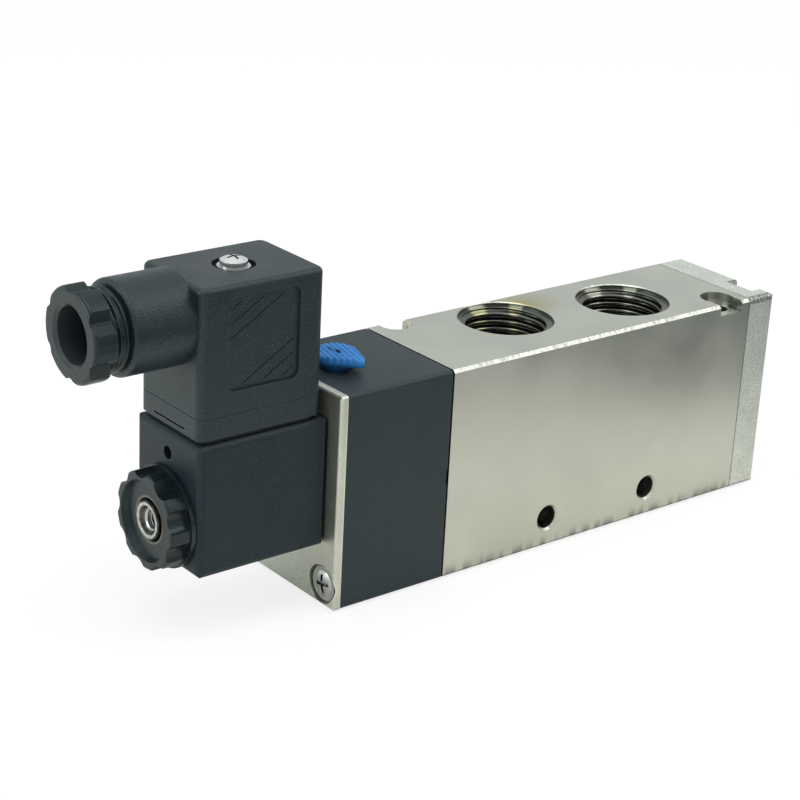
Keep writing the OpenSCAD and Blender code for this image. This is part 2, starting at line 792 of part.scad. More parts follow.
module end_cap_screws() {
    color("lightsteelblue")
        for (side = [-1, 1])
            translate([cap_right - cap_recess_depth, -side * cap_screw_y, cap_screw_height(side)])
                rotate([0, 90, 0]) pan_screw(screw_r, cap_screw_l, cap_recess_r - 2 * free_gap, head_h);
}

module spool() {
    color("lightgray") difference() {
        union() {
            bar_x(spool_waist_r, spool_left, spool_right);
            for (x = seal_x) bar_x(spool_land_r, x - spool_land_w / 2, x + spool_land_w / 2);
        }
        for (x = seal_x)
            pipe_x(bore_r, seal_groove_r, x - seal_groove_w / 2, x + seal_groove_w / 2);
        bar_x(spring_pocket_r, spool_right - spring_pocket_l, spool_right + over);
    }
}

module spool_seals() {
    color("dimgray") for (x = seal_x) ring_x(seal_mid_r, seal_ring_r, x);
}

module return_spring() {
    color("silver") spring_x(spring_r, return_wire_t,
        return_turns, spool_right - spring_pocket_l, cap_left + spring_seat_depth);
}

module pilot_piston() {
    groove_w = 2 * piston_ring_r + 4 * close_gap;
    groove_r = piston_ring_mid_r - piston_ring_r - close_gap;
    color("wheat") difference() {
        union() {
            bar_x(piston_r, piston_left, piston_right);
            bar_x(piston_stem_r, piston_right - over, spool_left);
        }
        pipe_x(piston_bore_r, groove_r, piston_mid - groove_w / 2, piston_mid + groove_w / 2);
    }
}

module piston_seal() {
    color("dimgray") ring_x(piston_ring_mid_r, piston_ring_r, piston_mid);
}

// Straight drilling across the pilot block, from the long drilling to the middle plane
module cross_drilling(x, z_end, r) {
    rise = z_end - drilling_z;
    reach = sqrt(pow(drilling_y, 2) + pow(rise, 2));
    translate([x, -drilling_y, drilling_z]) rotate([-atan2(drilling_y, rise), 0, 0])
        cylinder(r = r, h = reach);
}

module pilot_block() {
    color("#30363a") difference() {
        along_x(pilot_left, pilot_right) round_rect(body_w, body_h, pilot_round);
        bar_x(piston_bore_r, pilot_right - piston_bore_l, pilot_right + over);
        bar_x(chamber_r, pilot_left - over, seat_front);
        bar_x(seat_r + close_gap, pilot_left, seat_back);
        bar_x(drilling_r, seat_back - over, seat_back + 2 * drilling_r);
        pipe_x(tube_flange_r, tube_seal_r, pilot_left - over, pilot_left + tube_seal_t);
        for (side = [-1, 1])
            bar_x(screw_r + free_gap, pilot_left - over, pilot_right + over,
                side * plate_screw_y, plate_screw_height(side));
        translate([pilot_right - tab_notch, -body_w / 2 - over, axis_z - tab_notch_h / 2])
            cube([tab_notch + over, over + 2 * tab_notch, tab_notch_h]);
        bar_z(lever_hole_r, lever_x, 0, lever_hole_bottom, body_h + over);
        bar_z(lever_well_r, lever_x, 0, body_h - lever_well_depth, body_h + over);
        bar_x(drilling_r, lever_x - over, pilot_right + over, -drilling_y, drilling_z);
        cross_drilling(seat_back + drilling_r, axis_z, drilling_r * bypass_share);
        cross_drilling(lever_x, bypass_z, drilling_r * bypass_share);
        bar_x(drilling_r * bypass_share, lever_x, pilot_right - piston_bore_l + over, 0, bypass_z);
        bar_x(drilling_r * bypass_share, pilot_left, pilot_right - piston_bore_l + over,
            chamber_r - drilling_r, axis_z);
    }
}

module pilot_gasket() {
    color("dimgray") body_gasket(pilot_right, gasket_inset, bore_r + free_gap) {
        for (side = [-1, 1])
            bar_x(screw_r + free_gap, pilot_right - over, body_left + over,
                side * plate_screw_y, plate_screw_height(side));
        bar_x(drilling_r + free_gap, pilot_right - over, body_left + over, -drilling_y, drilling_z);
    }
}

module pilot_seat() {
    color("goldenrod") difference() {
        union() {
            bar_x(seat_r, seat_front, seat_back);
            bar_x(seat_r / 2, seat_face, seat_front + over);
        }
        bar_x(nozzle_hole_r, seat_face - over, seat_back + over);
    }
}

module adapter_plate() {
    color("lightgray") difference() {
        end_piece(plate_left, pilot_left, plate_round, false);
        bar_x(tube_r + close_gap, plate_left - over, pilot_left + over);
        bar_x(tube_flange_r + close_gap, pilot_left - tube_flange_t - close_gap, pilot_left + over);
        for (side = [-1, 1]) {
            bar_x(screw_r + free_gap, plate_left - over, pilot_left + over,
                side * plate_screw_y, plate_screw_height(side));
            bar_x(plate_recess_r, plate_left - over, plate_left + plate_recess_depth,
                side * plate_screw_y, plate_screw_height(side));
        }
    }
}

module plate_screws() {
    seat_x = plate_left + plate_recess_depth;
    color("lightsteelblue")
        for (side = [-1, 1])
            translate([seat_x, side * plate_screw_y, plate_screw_height(side)])
                rotate([0, -90, 0]) rotate(10)
                    pan_screw(screw_r, body_left + plate_screw_grip - seat_x, head_r, plate_head_h);
}

// Outline of the lever, pointing along -Y
module lever_outline() {
    hull() {
        circle(r = lever_r, $fn = 48);
        translate([0, -lever_reach]) circle(r = lever_tip_r, $fn = 24);
    }
}

// Half width of the lever at distance d from its axis towards its tip
function lever_half(d) =
    d < 0 ? sqrt(max(0, pow(lever_r, 2) - pow(d, 2)))
          : lever_r + (lever_tip_r - lever_r) * min(1, d / lever_reach);

// Grip bumps in staggered rows over the lever's top, with a plain groove in their middle
module lever_bumps() {
    rows = ceil((lever_r + lever_reach + lever_tip_r) / bump_pitch);
    sunk = 0.05;
    for (i = [0:rows])
        for (j = [-4:4]) {
            d = bump_pitch * (i + 0.5) - lever_r;
            off = bump_pitch * (j + (i % 2) / 2);
            inside = abs(off) + bump_pitch * 0.45 < lever_half(d) && d < lever_reach;
            groove = abs(off) < bump_pitch * 0.4 && d > -lever_r * 0.6 && d < lever_reach * 0.3;
            if (inside && !groove)
                translate([off, -d, lever_top - sunk]) rotate(45)
                    cylinder(r1 = bump_pitch * 0.5, r2 = bump_pitch * 0.22, h = bump_h + sunk, $fn = 4);
        }
}

module override_lever() {
    neck_r = lever_stem_r + lever_collar_t;
    stem_bottom = body_h - lever_stem_l;
    groove_h = 2 * lever_seal_ring_r + 4 * close_gap;
    notch = lever_stem_r + over;
    open_w = drilling_r * bypass_share;
    color("royalblue") translate([lever_x, 0, 0]) difference() {
        union() {
            rotate(lever_turn) {
                translate([0, 0, lever_bottom]) linear_extrude(lever_t) lever_outline();
                lever_bumps();
            }
            bar_z(neck_r, 0, 0, body_h - lever_well_depth + stop_gap, lever_bottom + lever_t / 2);
            bar_z(lever_stem_r, 0, 0, stem_bottom, lever_bottom);
        }
        difference() {
            bar_z(notch, 0, 0, lever_seal_z, lever_seal_z + groove_h);
            bar_z(lever_groove_r, 0, 0, lever_seal_z - over, lever_seal_z + groove_h + over);
        }
        translate([-notch, -notch, stem_bottom - over])
            cube([notch + open_w, notch + open_w, bypass_z - stem_bottom + 2 * over]);
    }
}

module override_seal() {
    translate([lever_x, 0, lever_seal_z + lever_seal_ring_r + 2 * close_gap]) color("dimgray")
        rotate_extrude() translate([lever_groove_r + close_gap + lever_seal_ring_r, 0])
            circle(r = lever_seal_ring_r, $fn = 32);
}

module core_tube() {
    color("silver") difference() {
        union() {
            bar_x(tube_r, tube_front, pilot_left);
            bar_x(tube_flange_r, pilot_left - tube_flange_t, pilot_left);
        }
        bar_x(tube_bore_r, tube_front - over, pilot_left + over);
    }
}

module tube_seal() {
    color("dimgray") pipe_x(tube_flange_r - close_gap, tube_seal_r + close_gap,
        pilot_left, pilot_left + tube_seal_t - close_gap);
}

module fixed_core() {
    chamfer = 0.2;
    color("gainsboro") difference() {
        union() {
            bar_x(core_r, tube_front, core_back);
            bar_x(tube_r, coil_front, tube_front);
            bar_x(stub_r, stub_front + chamfer, coil_front);
            cone_x(stub_r - chamfer, stub_r, stub_front, stub_front + chamfer);
        }
        bar_x(stub_thread_r, stub_front - over, stub_front + stub_thread_l);
        cone_x(stub_thread_r + stub_entry + over, stub_thread_r, stub_front - over, stub_front + stub_entry);
        bar_x(vent_r, stub_front, core_back + over);
    }
}

module armature() {
    color("lightslategray") difference() {
        bar_x(armature_r, armature_left, armature_right);
        bar_x(armature_pocket_r, armature_left - over, armature_left + armature_pocket_l);
        bar_x(armature_seal_r + close_gap, armature_right - armature_seal_t, armature_right + over);
    }
}

module armature_seal() {
    color("dimgray") bar_x(armature_seal_r, armature_right - armature_seal_t,
        seat_face - close_gap);
}

module armature_spring() {
    color("silver") spring_x(armature_pocket_r - stop_gap - armature_wire_t / 2, armature_wire_t,
        armature_turns, core_back, armature_left + armature_pocket_l);
}

// Steel frame: an end plate on each side of the bobbin, and a web over its top
module frame_shape(grow) {
    w = frame_w + 2 * grow;
    low = axis_z - bobbin_r + frame_foot - grow;
    difference() {
        translate([bobbin_front - frame_t - grow, -w / 2, low])
            cube([bobbin_back - bobbin_front + 2 * (frame_t + grow), w, frame_top + grow - low]);
        translate([bobbin_front + grow, -w / 2 - over, low - over])
            cube([bobbin_back - bobbin_front - 2 * grow, w + 2 * over,
                frame_top - frame_t - grow - low + over]);
    }
}

module coil_frame() {
    color("slategray") difference() {
        frame_shape(0);
        bar_x(tube_r + free_gap, coil_front, coil_back);
    }
}

module coil_housing() {
    pin_r = 1.5;
    pin_depth = 2;
    pin_z = coil_top - 5.1;
    color("#2b3135") difference() {
        round_block([coil_front, -coil_w / 2, axis_z - coil_drop],
            [coil_back, coil_w / 2, coil_top], coil_round);
        bar_x(coil_bore_r, coil_front - over, coil_back + over);
        bar_x(bobbin_r + close_gap, bobbin_front - close_gap, bobbin_back + close_gap);
        frame_shape(close_gap);
        for (x = [coil_front - over, coil_back - ring_depth])
            bar_x(ring_seal_r + close_gap, x, x + ring_depth + over);
        blade_slots(close_gap);
        bar_z(thread_insert_r + close_gap, long_screw_x, 0, coil_top - thread_insert_l, coil_top + over);
        bar_x(pin_r, coil_front - over, coil_front + pin_depth, 0, pin_z);
    }
}

module coil_bobbin() {
    color("ivory") difference() {
        union() {
            bar_x(bobbin_tube_r, bobbin_front, bobbin_back);
            bar_x(bobbin_r, bobbin_front, bobbin_front + bobbin_flange_t);
            bar_x(bobbin_r, bobbin_back - bobbin_flange_t, bobbin_back);
        }
        bar_x(coil_bore_r, bobbin_front - over, bobbin_back + over);
    }
}

module coil_winding() {
    color("chocolate") pipe_x(winding_r, bobbin_tube_r + close_gap,
        bobbin_front + bobbin_flange_t + close_gap, bobbin_back - bobbin_flange_t - close_gap);
}

module coil_seals() {
    color("dimgray")
        for (x = [coil_front - coil_gap, coil_back - ring_depth])
            pipe_x(ring_seal_r, coil_bore_r + free_gap, x, x + ring_seal_t);
}

// The flat blades: two for the line side by side, and one across for earth
module blade_slots(grow) {
    t = blade_t + 2 * grow;
    w = blade_w + 2 * grow;
    low = coil_top - blade_root;
    for (side = [-1, 1])
        translate([line_blade_x - w / 2, side * blade_pitch / 2 - t / 2, low])
            cube([w, t, blade_h + blade_root]);
    translate([earth_blade_x - t / 2, -w / 2, low]) cube([t, w, blade_h + blade_root]);
}

module terminal_blades() {
    color("lightsteelblue") blade_slots(0);
}

module screw_insert() {
    color("goldenrod") difference() {
        bar_z(thread_insert_r, long_screw_x, 0, coil_top - thread_insert_l, coil_top);
        bar_z(long_screw_r + close_gap, long_screw_x, 0, coil_top - thread_insert_l + over, coil_top + over);
    }
}

// Outline with broad lobes: each lobe top is an arc, each scallop a hollow between two lobes
module lobed_outline(outer, valley, count, lobe_angle) {
    gap_angle = 360 / count - lobe_angle;
    half_chord = outer * sin(gap_angle / 2);
    sagitta = outer * cos(gap_angle / 2) - valley;
    cut_r = (pow(half_chord, 2) + pow(sagitta, 2)) / (2 * sagitta);
    difference() {
        circle(r = outer, $fn = 96);
        for (i = [0:count - 1])
            rotate((i + 0.5) * 360 / count) translate([valley + cut_r, 0])
                circle(r = cut_r, $fn = 64);
    }
}

// Turned bar along X with a rounded rim at its left end
module soft_bar_x(r, x0, x1, rim, z = axis_z) {
    translate([x0, 0, z]) rotate([0, 90, 0]) rotate_extrude() {
        square([r - rim, x1 - x0]);
        translate([0, rim]) square([r, x1 - x0 - rim]);
        translate([r - rim, rim]) circle(r = rim, $fn = 32);
    }
}

module coil_nut() {
    dish_x = nut_front + nut_dish_depth;
    dish_slope = 0.5;
    color("#24282b") difference() {
        union() {
            intersection() {
                translate([nut_front, 0, axis_z]) rotate([90, 0, 90]) rotate(nut_rest_angle)
                    linear_extrude(nut_l - nut_flange_t / 2)
                        lobed_outline(nut_r, nut_valley_r, nut_lobes, nut_lobe_angle);
                soft_bar_x(nut_r + close_gap, nut_front, nut_back, nut_round);
            }
            bar_x(nut_flange_r, nut_back - nut_flange_t, nut_back);
        }
        cone_x(nut_dish_r + over * dish_slope, nut_dish_r - nut_dish_depth * dish_slope,
            nut_front - over, dish_x);
        bar_x(insert_r + close_gap, nut_front - over, nut_back + over);
    }
}

module nut_insert() {
    face_x = nut_front + nut_dish_depth;
    chamfer = 0.45;
    color("silver") difference() {
        bar_x(insert_r, face_x, nut_back);
        bar_x(stub_r + run_gap, face_x - over, nut_back + over);
        cone_x(stub_r + run_gap + chamfer + over, stub_r + run_gap, face_x - over, face_x + chamfer);
    }
}

module connector_gasket() {
    color("#202020") difference() {
        translate([cover_mid, 0, coil_top]) linear_extrude(cover_gasket_t)
            round_rect(cover_l - 2 * cover_gasket_inset, cover_w - 2 * cover_gasket_inset, cover_round);
        blade_slots(free_gap);
        bar_z(long_screw_r + free_gap, long_screw_x, 0, coil_top - over, cover_bottom + over);
    }
}

// Solid outer shape of the connector, with round upright edges and a softer top edge
module cover_outside() {
    hull()
        for (sx = [-1, 1])
            for (sy = [-1, 1])
                translate([cover_mid + sx * (cover_l / 2 - cover_round), sy * (cover_w / 2 - cover_round), 0]) {
                    translate([0, 0, cover_bottom]) cylinder(r = cover_round, h = 0.2, $fn = 32);
                    translate([0, 0, cover_top - cover_top_round]) rotate_extrude($fn = 32) {
                        square([cover_round - cover_top_round, cover_top_round]);
                        intersection() {
                            translate([cover_round - cover_top_round, 0]) circle(r = cover_top_round, $fn = 24);
                            square([cover_round, cover_top_round]);
                        }
                    }
                }
}

// Recessed panel with two sets of slanting grip grooves, cut from the connector's side
module side_panel(side) {
    mid_z = cover_top - panel_drop - panel_h / 2;
    inset = 1.2;
    rows = 3;
    translate([cover_mid, side * cover_w / 2, mid_z]) rotate([90, 0, 0]) {
        linear_extrude(2 * panel_depth, center = true) round_rect(panel_l, panel_h, panel_round);
        for (turn = [0, 180])
            rotate(turn)
                for (i = [1:rows])
                    translate([inset - panel_l / 2, panel_h / 2 - inset - i * groove_pitch + 1.7, 0])
                        rotate(groove_angle)
                            translate([0, 0, -panel_depth - groove_w])
                                cube([(i * groove_pitch - 1.7) / sin(groove_angle), groove_w,
                                    2 * (panel_depth + groove_w)]);
    }
}

module connector_cover() {
    cavity_l = cover_l - 2 * cover_wall_t;
    cavity_w = cover_w - 2 * cover_wall_t;
    color("#2e3438") difference() {
        union() {
            cover_outside();
            soft_bar_x(boss_r, boss_front, cover_front + boss_inside, boss_round, gland_z);
        }
        difference() {
            translate([cover_mid, 0, cover_bottom - over]) linear_extrude(cavity_top - cover_bottom + over)
                round_rect(cavity_l, cavity_w, cavity_round);
            bar_z(pillar_r, long_screw_x, 0, terminal_top, cavity_top + over);
        }
        translate([cover_mid, 0, cover_bottom + seam_z]) linear_extrude(seam_h) difference() {
            square([cover_l + 2 * over, cover_w + 2 * over], center = true);
            round_rect(cover_l - 2 * seam_depth, cover_w - 2 * seam_depth, cover_round - seam_depth);
        }
        for (side = [-1, 1]) side_panel(side);
        translate([cover_front - over, -pry_slot_l / 2, cover_bottom + pry_slot_z - pry_slot_h / 2])
            cube([pry_slot_d + over, pry_slot_l, pry_slot_h]);
        bar_z(long_screw_r + free_gap, long_screw_x, 0, cover_bottom, cover_top + over);
        bar_z(cover_recess_r, long_screw_x, 0, cover_top - cover_recess_depth, cover_top + over);
        bar_x(boss_bore_r, boss_front - over, seal_back, 0, gland_z);
        bar_x(cable_hole_r, seal_back - over, cover_front + cover_wall_t + over, 0, gland_z);
    }
}

module terminal_block() {
    fit = stop_gap;
    color("#3a4044") difference() {
        translate([cover_mid, 0, cover_bottom]) linear_extrude(terminal_h)
            round_rect(cover_l - 2 * (cover_wall_t + fit), cover_w - 2 * (cover_wall_t + fit), cavity_round - fit);
        blade_slots(free_gap);
        bar_z(long_screw_r + free_gap, long_screw_x, 0, cover_bottom - over, terminal_top + over);
        clamp_blocks(close_gap, over);
    }
}

// Room of the three clamps, which lie beside their blades and open at the top of the block
module clamp_blocks(grow, rise) {
    w = clamp_w + 2 * grow;
    low = cover_bottom + clamp_rise - grow;
    for (side = [-1, 1])
        translate([line_blade_x - w / 2, side * blade_pitch / 2 - side * clamp_shift - (clamp_t / 2 + grow), low])
            cube([w, clamp_t + 2 * grow, terminal_top - low + rise]);
    translate([earth_blade_x + clamp_shift - (clamp_t / 2 + grow), -w / 2, low])
        cube([clamp_t + 2 * grow, w, terminal_top - low + rise]);
}

module terminal_clamps() {
    color("goldenrod") difference() {
        clamp_blocks(0, 0);
        for (side = [-1, 1])
            bar_z(clamp_screw_r, line_blade_x, side * (blade_pitch / 2 - clamp_shift), terminal_top - clamp_screw_l, terminal_top + over);
        bar_z(clamp_screw_r, earth_blade_x + clamp_shift, 0, terminal_top - clamp_screw_l, terminal_top + over);
    }
}

module connector_screw() {
    seat_z = cover_top - cover_recess_depth;
    length = seat_z - (coil_top - thread_insert_l + over + free_gap);
    color("whitesmoke") translate([long_screw_x, 0, seat_z]) {
        pan_screw(long_screw_r, length, long_head_r, long_head_h);
        cylinder(r = long_head_flange_r, h = long_head_flange_t);
    }
}

// Outline of the gland nut: broad lobes with flat flanks on a round core
module gland_outline() {
    circle(r = gland_valley_r, $fn = 96);
    for (i = [0:gland_lobes - 1])
        rotate(i * 360 / gland_lobes) hull() {
            translate([gland_lobe_r - gland_top_t / 2, 0]) square([gland_top_t, gland_top_w], center = true);
            translate([gland_valley_r - 1.6, 0]) square([0.1, gland_root_w], center = true);
        }
}

module gland_nut() {
    entry = 0.7;
    color("#262b2e") difference() {
        union() {
            intersection() {
                translate([gland_front, 0, gland_z]) rotate([90, 0, 90])
                    linear_extrude(gland_lobe_l) gland_outline();
                soft_bar_x(gland_lobe_r + close_gap, gland_front, lobe_back + over, gland_round, gland_z);
            }
            bar_x(neck_r, lobe_back - over, neck_back, 0, gland_z);
        }
        bar_x(cable_r, gland_front - over, neck_back + over, 0, gland_z);
        cone_x(cable_r + entry + over, cable_r, gland_front - over, gland_front + entry, 0, gland_z);
    }
}

module gland_washer() {
    color("silver") pipe_x(boss_bore_r - run_gap, cable_r - 1, neck_back + close_gap,
        neck_back + close_gap + washer_t, 0, gland_z);
}

module gland_seal() {
    color("#1c1c1c") pipe_x(boss_bore_r - run_gap, cable_seal_r,
        neck_back + 2 * close_gap + washer_t, seal_back, 0, gland_z);
}

valve_body();
end_cap();
end_cap_gasket();
end_cap_screws();
spool();
spool_seals();
return_spring();
pilot_piston();
piston_seal();
pilot_block();
pilot_gasket();
pilot_seat();
adapter_plate();
plate_screws();
override_lever();
override_seal();
core_tube();
tube_seal();
fixed_core();
armature();
armature_seal();
armature_spring();
coil_housing();
coil_bobbin();
coil_winding();
coil_frame();
coil_seals();
terminal_blades();
screw_insert();
coil_nut();
nut_insert();
connector_gasket();
connector_cover();
terminal_block();
terminal_clamps();
connector_screw();
gland_nut();
gland_washer();
gland_seal();
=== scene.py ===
"""Looks of a pneumatic solenoid valve: the finishes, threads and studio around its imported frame."""
import json
import math

import bpy
import numpy as np
from bpy.props import FloatProperty, FloatVectorProperty, IntProperty, PointerProperty
from mathutils import Matrix, Vector


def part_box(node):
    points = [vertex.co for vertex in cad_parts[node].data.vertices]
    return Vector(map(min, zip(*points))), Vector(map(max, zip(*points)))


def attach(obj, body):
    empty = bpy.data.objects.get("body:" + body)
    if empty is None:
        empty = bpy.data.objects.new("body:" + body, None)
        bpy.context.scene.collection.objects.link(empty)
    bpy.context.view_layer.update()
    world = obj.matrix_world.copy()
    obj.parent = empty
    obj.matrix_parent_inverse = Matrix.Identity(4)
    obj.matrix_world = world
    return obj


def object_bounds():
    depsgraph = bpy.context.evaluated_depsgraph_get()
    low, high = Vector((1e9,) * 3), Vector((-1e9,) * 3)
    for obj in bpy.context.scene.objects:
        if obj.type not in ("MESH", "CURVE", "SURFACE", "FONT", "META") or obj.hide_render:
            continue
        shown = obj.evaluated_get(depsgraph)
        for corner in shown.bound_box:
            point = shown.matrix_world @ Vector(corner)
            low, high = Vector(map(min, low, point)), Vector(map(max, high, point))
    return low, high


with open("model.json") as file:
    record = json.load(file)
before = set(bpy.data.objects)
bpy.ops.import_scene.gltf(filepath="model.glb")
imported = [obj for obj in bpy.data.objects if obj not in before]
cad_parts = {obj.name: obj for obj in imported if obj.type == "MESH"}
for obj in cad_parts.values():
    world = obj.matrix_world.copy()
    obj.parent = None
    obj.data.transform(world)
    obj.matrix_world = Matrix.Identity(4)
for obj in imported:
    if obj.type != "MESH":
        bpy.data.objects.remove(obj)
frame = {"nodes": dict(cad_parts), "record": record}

bl_info = {
    "name": "Solenoid valve looks",
    "version": (1, 0, 0),
    "blender": (4, 5, 0),
    "location": "3D View > Sidebar > Valve",
    "description": "Finishes, threads and studio of a pneumatic solenoid valve",
    "category": "Object",
}

CAD_BOX = [list(corner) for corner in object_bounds()]
MM = 0.001
BODY_TOP = 50 * MM
AXIS_HEIGHT = 25 * MM  # of the spool, the core tube and the coil


def colour_value(name, description, default):
    return FloatVectorProperty(name=name, description=description, subtype="COLOR", size=3,
                               min=0.0, max=1.0, default=default)


def share_value(name, description, default):
    return FloatProperty(name=name, description=description, subtype="FACTOR", min=0.0, max=1.0,
                         default=default)


def length_value(name, description, default):
    return FloatProperty(name=name, description=description, unit="LENGTH", subtype="DISTANCE",
                         min=0.0, precision=5, default=default)


class ValveMetalLooks(bpy.types.PropertyGroup):
    nickel: colour_value("Nickel plating", "Plated faces of the body and the plate",
                         (0.565, 0.575, 0.51))
    nickel_rough: share_value("Nickel roughness", "Roughness of the ground and plated faces", 0.3)
    cap_rough: share_value("Cap roughness", "Roughness of the blasted end cap", 0.56)
    cap: colour_value("Cap plating", "Blasted and plated end cap", (0.615, 0.64, 0.59))
    stain: colour_value("Warm stain", "Tint of the plating behind the second outlet",
                        (0.42, 0.37, 0.15))
    zinc: colour_value("Zinc plating", "Screws", (0.6, 0.61, 0.6))
    steel: colour_value("Bright steel", "Core tube, core and its stub", (0.43, 0.44, 0.42))
    spring: colour_value("Spring wire", "Both springs", (0.5, 0.5, 0.49))
    alloy: colour_value("Spool alloy", "Turned aluminium of the spool", (0.72, 0.73, 0.74))
    brass: colour_value("Brass", "Threaded inserts and the pilot seat", (0.72, 0.52, 0.25))
    copper: colour_value("Copper wire", "Winding of the coil", (0.72, 0.33, 0.17))


class ValvePlasticLooks(bpy.types.PropertyGroup):
    block: colour_value("Pilot block", "Blue-black moulding beside the body",
                        (0.0105, 0.0195, 0.0255))
    coil: colour_value("Coil housing", "Moulding round the coil", (0.012, 0.02, 0.0265))
    connector: colour_value("Connector", "Cover of the plug", (0.006, 0.0135, 0.019))
    nut: colour_value("Coil nut", "Grip mouldings of the coil nut and the gland nut",
                      (0.009, 0.0155, 0.019))
    lever: colour_value("Override lever", "Blue moulding of the hand lever", (0.03, 0.25, 0.68))
    piston: colour_value("Piston", "Pale bearing plastic", (0.74, 0.72, 0.66))
    bobbin: colour_value("Bobbin", "Natural nylon", (0.56, 0.52, 0.42))
    rubber: colour_value("Rubber", "Seals and gaskets", (0.012, 0.012, 0.0125))


class ValveThreadSizes(bpy.types.PropertyGroup):
    port_pitch: length_value("Port pitch", "Pitch of the G 1/2 pipe thread", 1.814 * MM)
    port_root: length_value("Port root radius", "Largest radius of the pipe thread", 10.48 * MM)
    port_crest: length_value("Port crest radius", "Smallest radius of the pipe thread", 9.32 * MM)
    stub_pitch: length_value("Stub pitch", "Pitch of the M6 thread in the stub", 1.0 * MM)
    gland_pitch: length_value("Gland pitch", "Pitch of the gland nut's thread", 1.5 * MM)
    gland_rise: length_value("Gland thread height", "Height of that thread over the neck",
                             0.55 * MM)
    grip_r: length_value("Lever round end", "Radius of the hand lever's round end", 4.5 * MM)
    grip_tip: length_value("Lever tip", "Radius of the hand lever's tip", 1.2 * MM)
    grip_reach: length_value("Lever reach", "Distance from the lever's axis to its tip's middle",
                             6.5 * MM)
    grip_turn: FloatProperty(name="Lever turn", description="Turn of the lever, in degrees",
                             min=0.0, max=90.0, default=13.0)
    grip_pitch: length_value("Grip pitch", "Distance between the rows of the lever's bumps",
                             1.35 * MM)
    grip_height: length_value("Grip height", "Height of the lever's bumps", 0.5 * MM)
    facets: IntProperty(name="Facets round", description="Steps round one turn of a thread",
                        min=24, max=360, default=132)


class ValveStudio(bpy.types.PropertyGroup):
    key_power: FloatProperty(name="Key light", description="Power of the large soft light",
                             unit="POWER", min=0.0, default=1.55)
    top_power: FloatProperty(name="Top light", description="Power of the soft light overhead",
                             unit="POWER", min=0.0, default=2.2)
    side_power: FloatProperty(name="Side light",
                              description="Power of the cool light at the coil's end",
                              unit="POWER", min=0.0, default=2.4)
    room: share_value("Room level", "Strength of the room's light on the object", 0.62)
    floor: colour_value("Floor", "Pale floor", (0.9, 0.9, 0.9))
    lens: FloatProperty(name="Lens", description="Focal length of the camera",
                        unit="CAMERA", min=1.0, default=95.873)


# ---------------------------------------------------------------- finishes


MIX_FIRST, MIX_SECOND, MIX_RESULT = 6, 7, 2  # a Mix node's colour sockets, whose names repeat
WAVE_SCALE = 0.314  # scale at which a Wave texture has one wave to the metre, close to pi over 10


class Graph:
    """The nodes of one material or of the world, and the steps that all of them are made from."""

    def __init__(self, owner):
        owner.use_nodes = True
        self.nodes = owner.node_tree.nodes
        self.links = owner.node_tree.links
        self.nodes.clear()

    def feed(self, socket, value):
        """A socket takes a link from another one, or a plain number, vector or colour."""
        if isinstance(value, bpy.types.NodeSocket):
            self.links.new(value, socket)
        else:
            socket.default_value = (*value, 1.0) if socket.type == "RGBA" else value

    def span(self, value, low, high, start=0.0, end=1.0):
        """Value from low to high becomes start to end, smoothly, and stays within them."""
        mapped = self.nodes.new("ShaderNodeMapRange")
        mapped.interpolation_type = "SMOOTHSTEP"
        for name, part in zip(("Value", "From Min", "From Max", "To Min", "To Max"),
                              (value, low, high, start, end)):
            self.feed(mapped.inputs[name], part)
        return mapped.outputs["Result"]

    def maths(self, operation, first, second=0.0):
        step = self.nodes.new("ShaderNodeMath")
        step.operation = operation
        self.feed(step.inputs[0], first)
        self.feed(step.inputs[1], second)
        return step.outputs["Value"]

    def dot(self, first, second):
        """Dot product of two vectors: 1 where two normals agree."""
        product = self.nodes.new("ShaderNodeVectorMath")
        product.operation = "DOT_PRODUCT"
        self.feed(product.inputs[0], first)
        self.feed(product.inputs[1], second)
        return product.outputs["Value"]

    def mixed(self, share, first, second):
        """Colour that is first where share is 0 and second where it is 1."""
        mix = self.nodes.new("ShaderNodeMix")
        mix.data_type = "RGBA"
        self.feed(mix.inputs["Factor"], share)
        self.feed(mix.inputs[MIX_FIRST], first)
        self.feed(mix.inputs[MIX_SECOND], second)
        return mix.outputs[MIX_RESULT]

    def mixed_shader(self, share, first, second):
        """Shader that is first where share is 0 and second where it is 1."""
        mix = self.nodes.new("ShaderNodeMixShader")
        self.feed(mix.inputs["Fac"], share)
        self.feed(mix.inputs[1], first)
        self.feed(mix.inputs[2], second)
        return mix.outputs["Shader"]

    def surface(self, kind, shader):
        """Ends the graph in an output node of that kind."""
        output = self.nodes.new(kind)
        self.links.new(shader, output.inputs["Surface"])


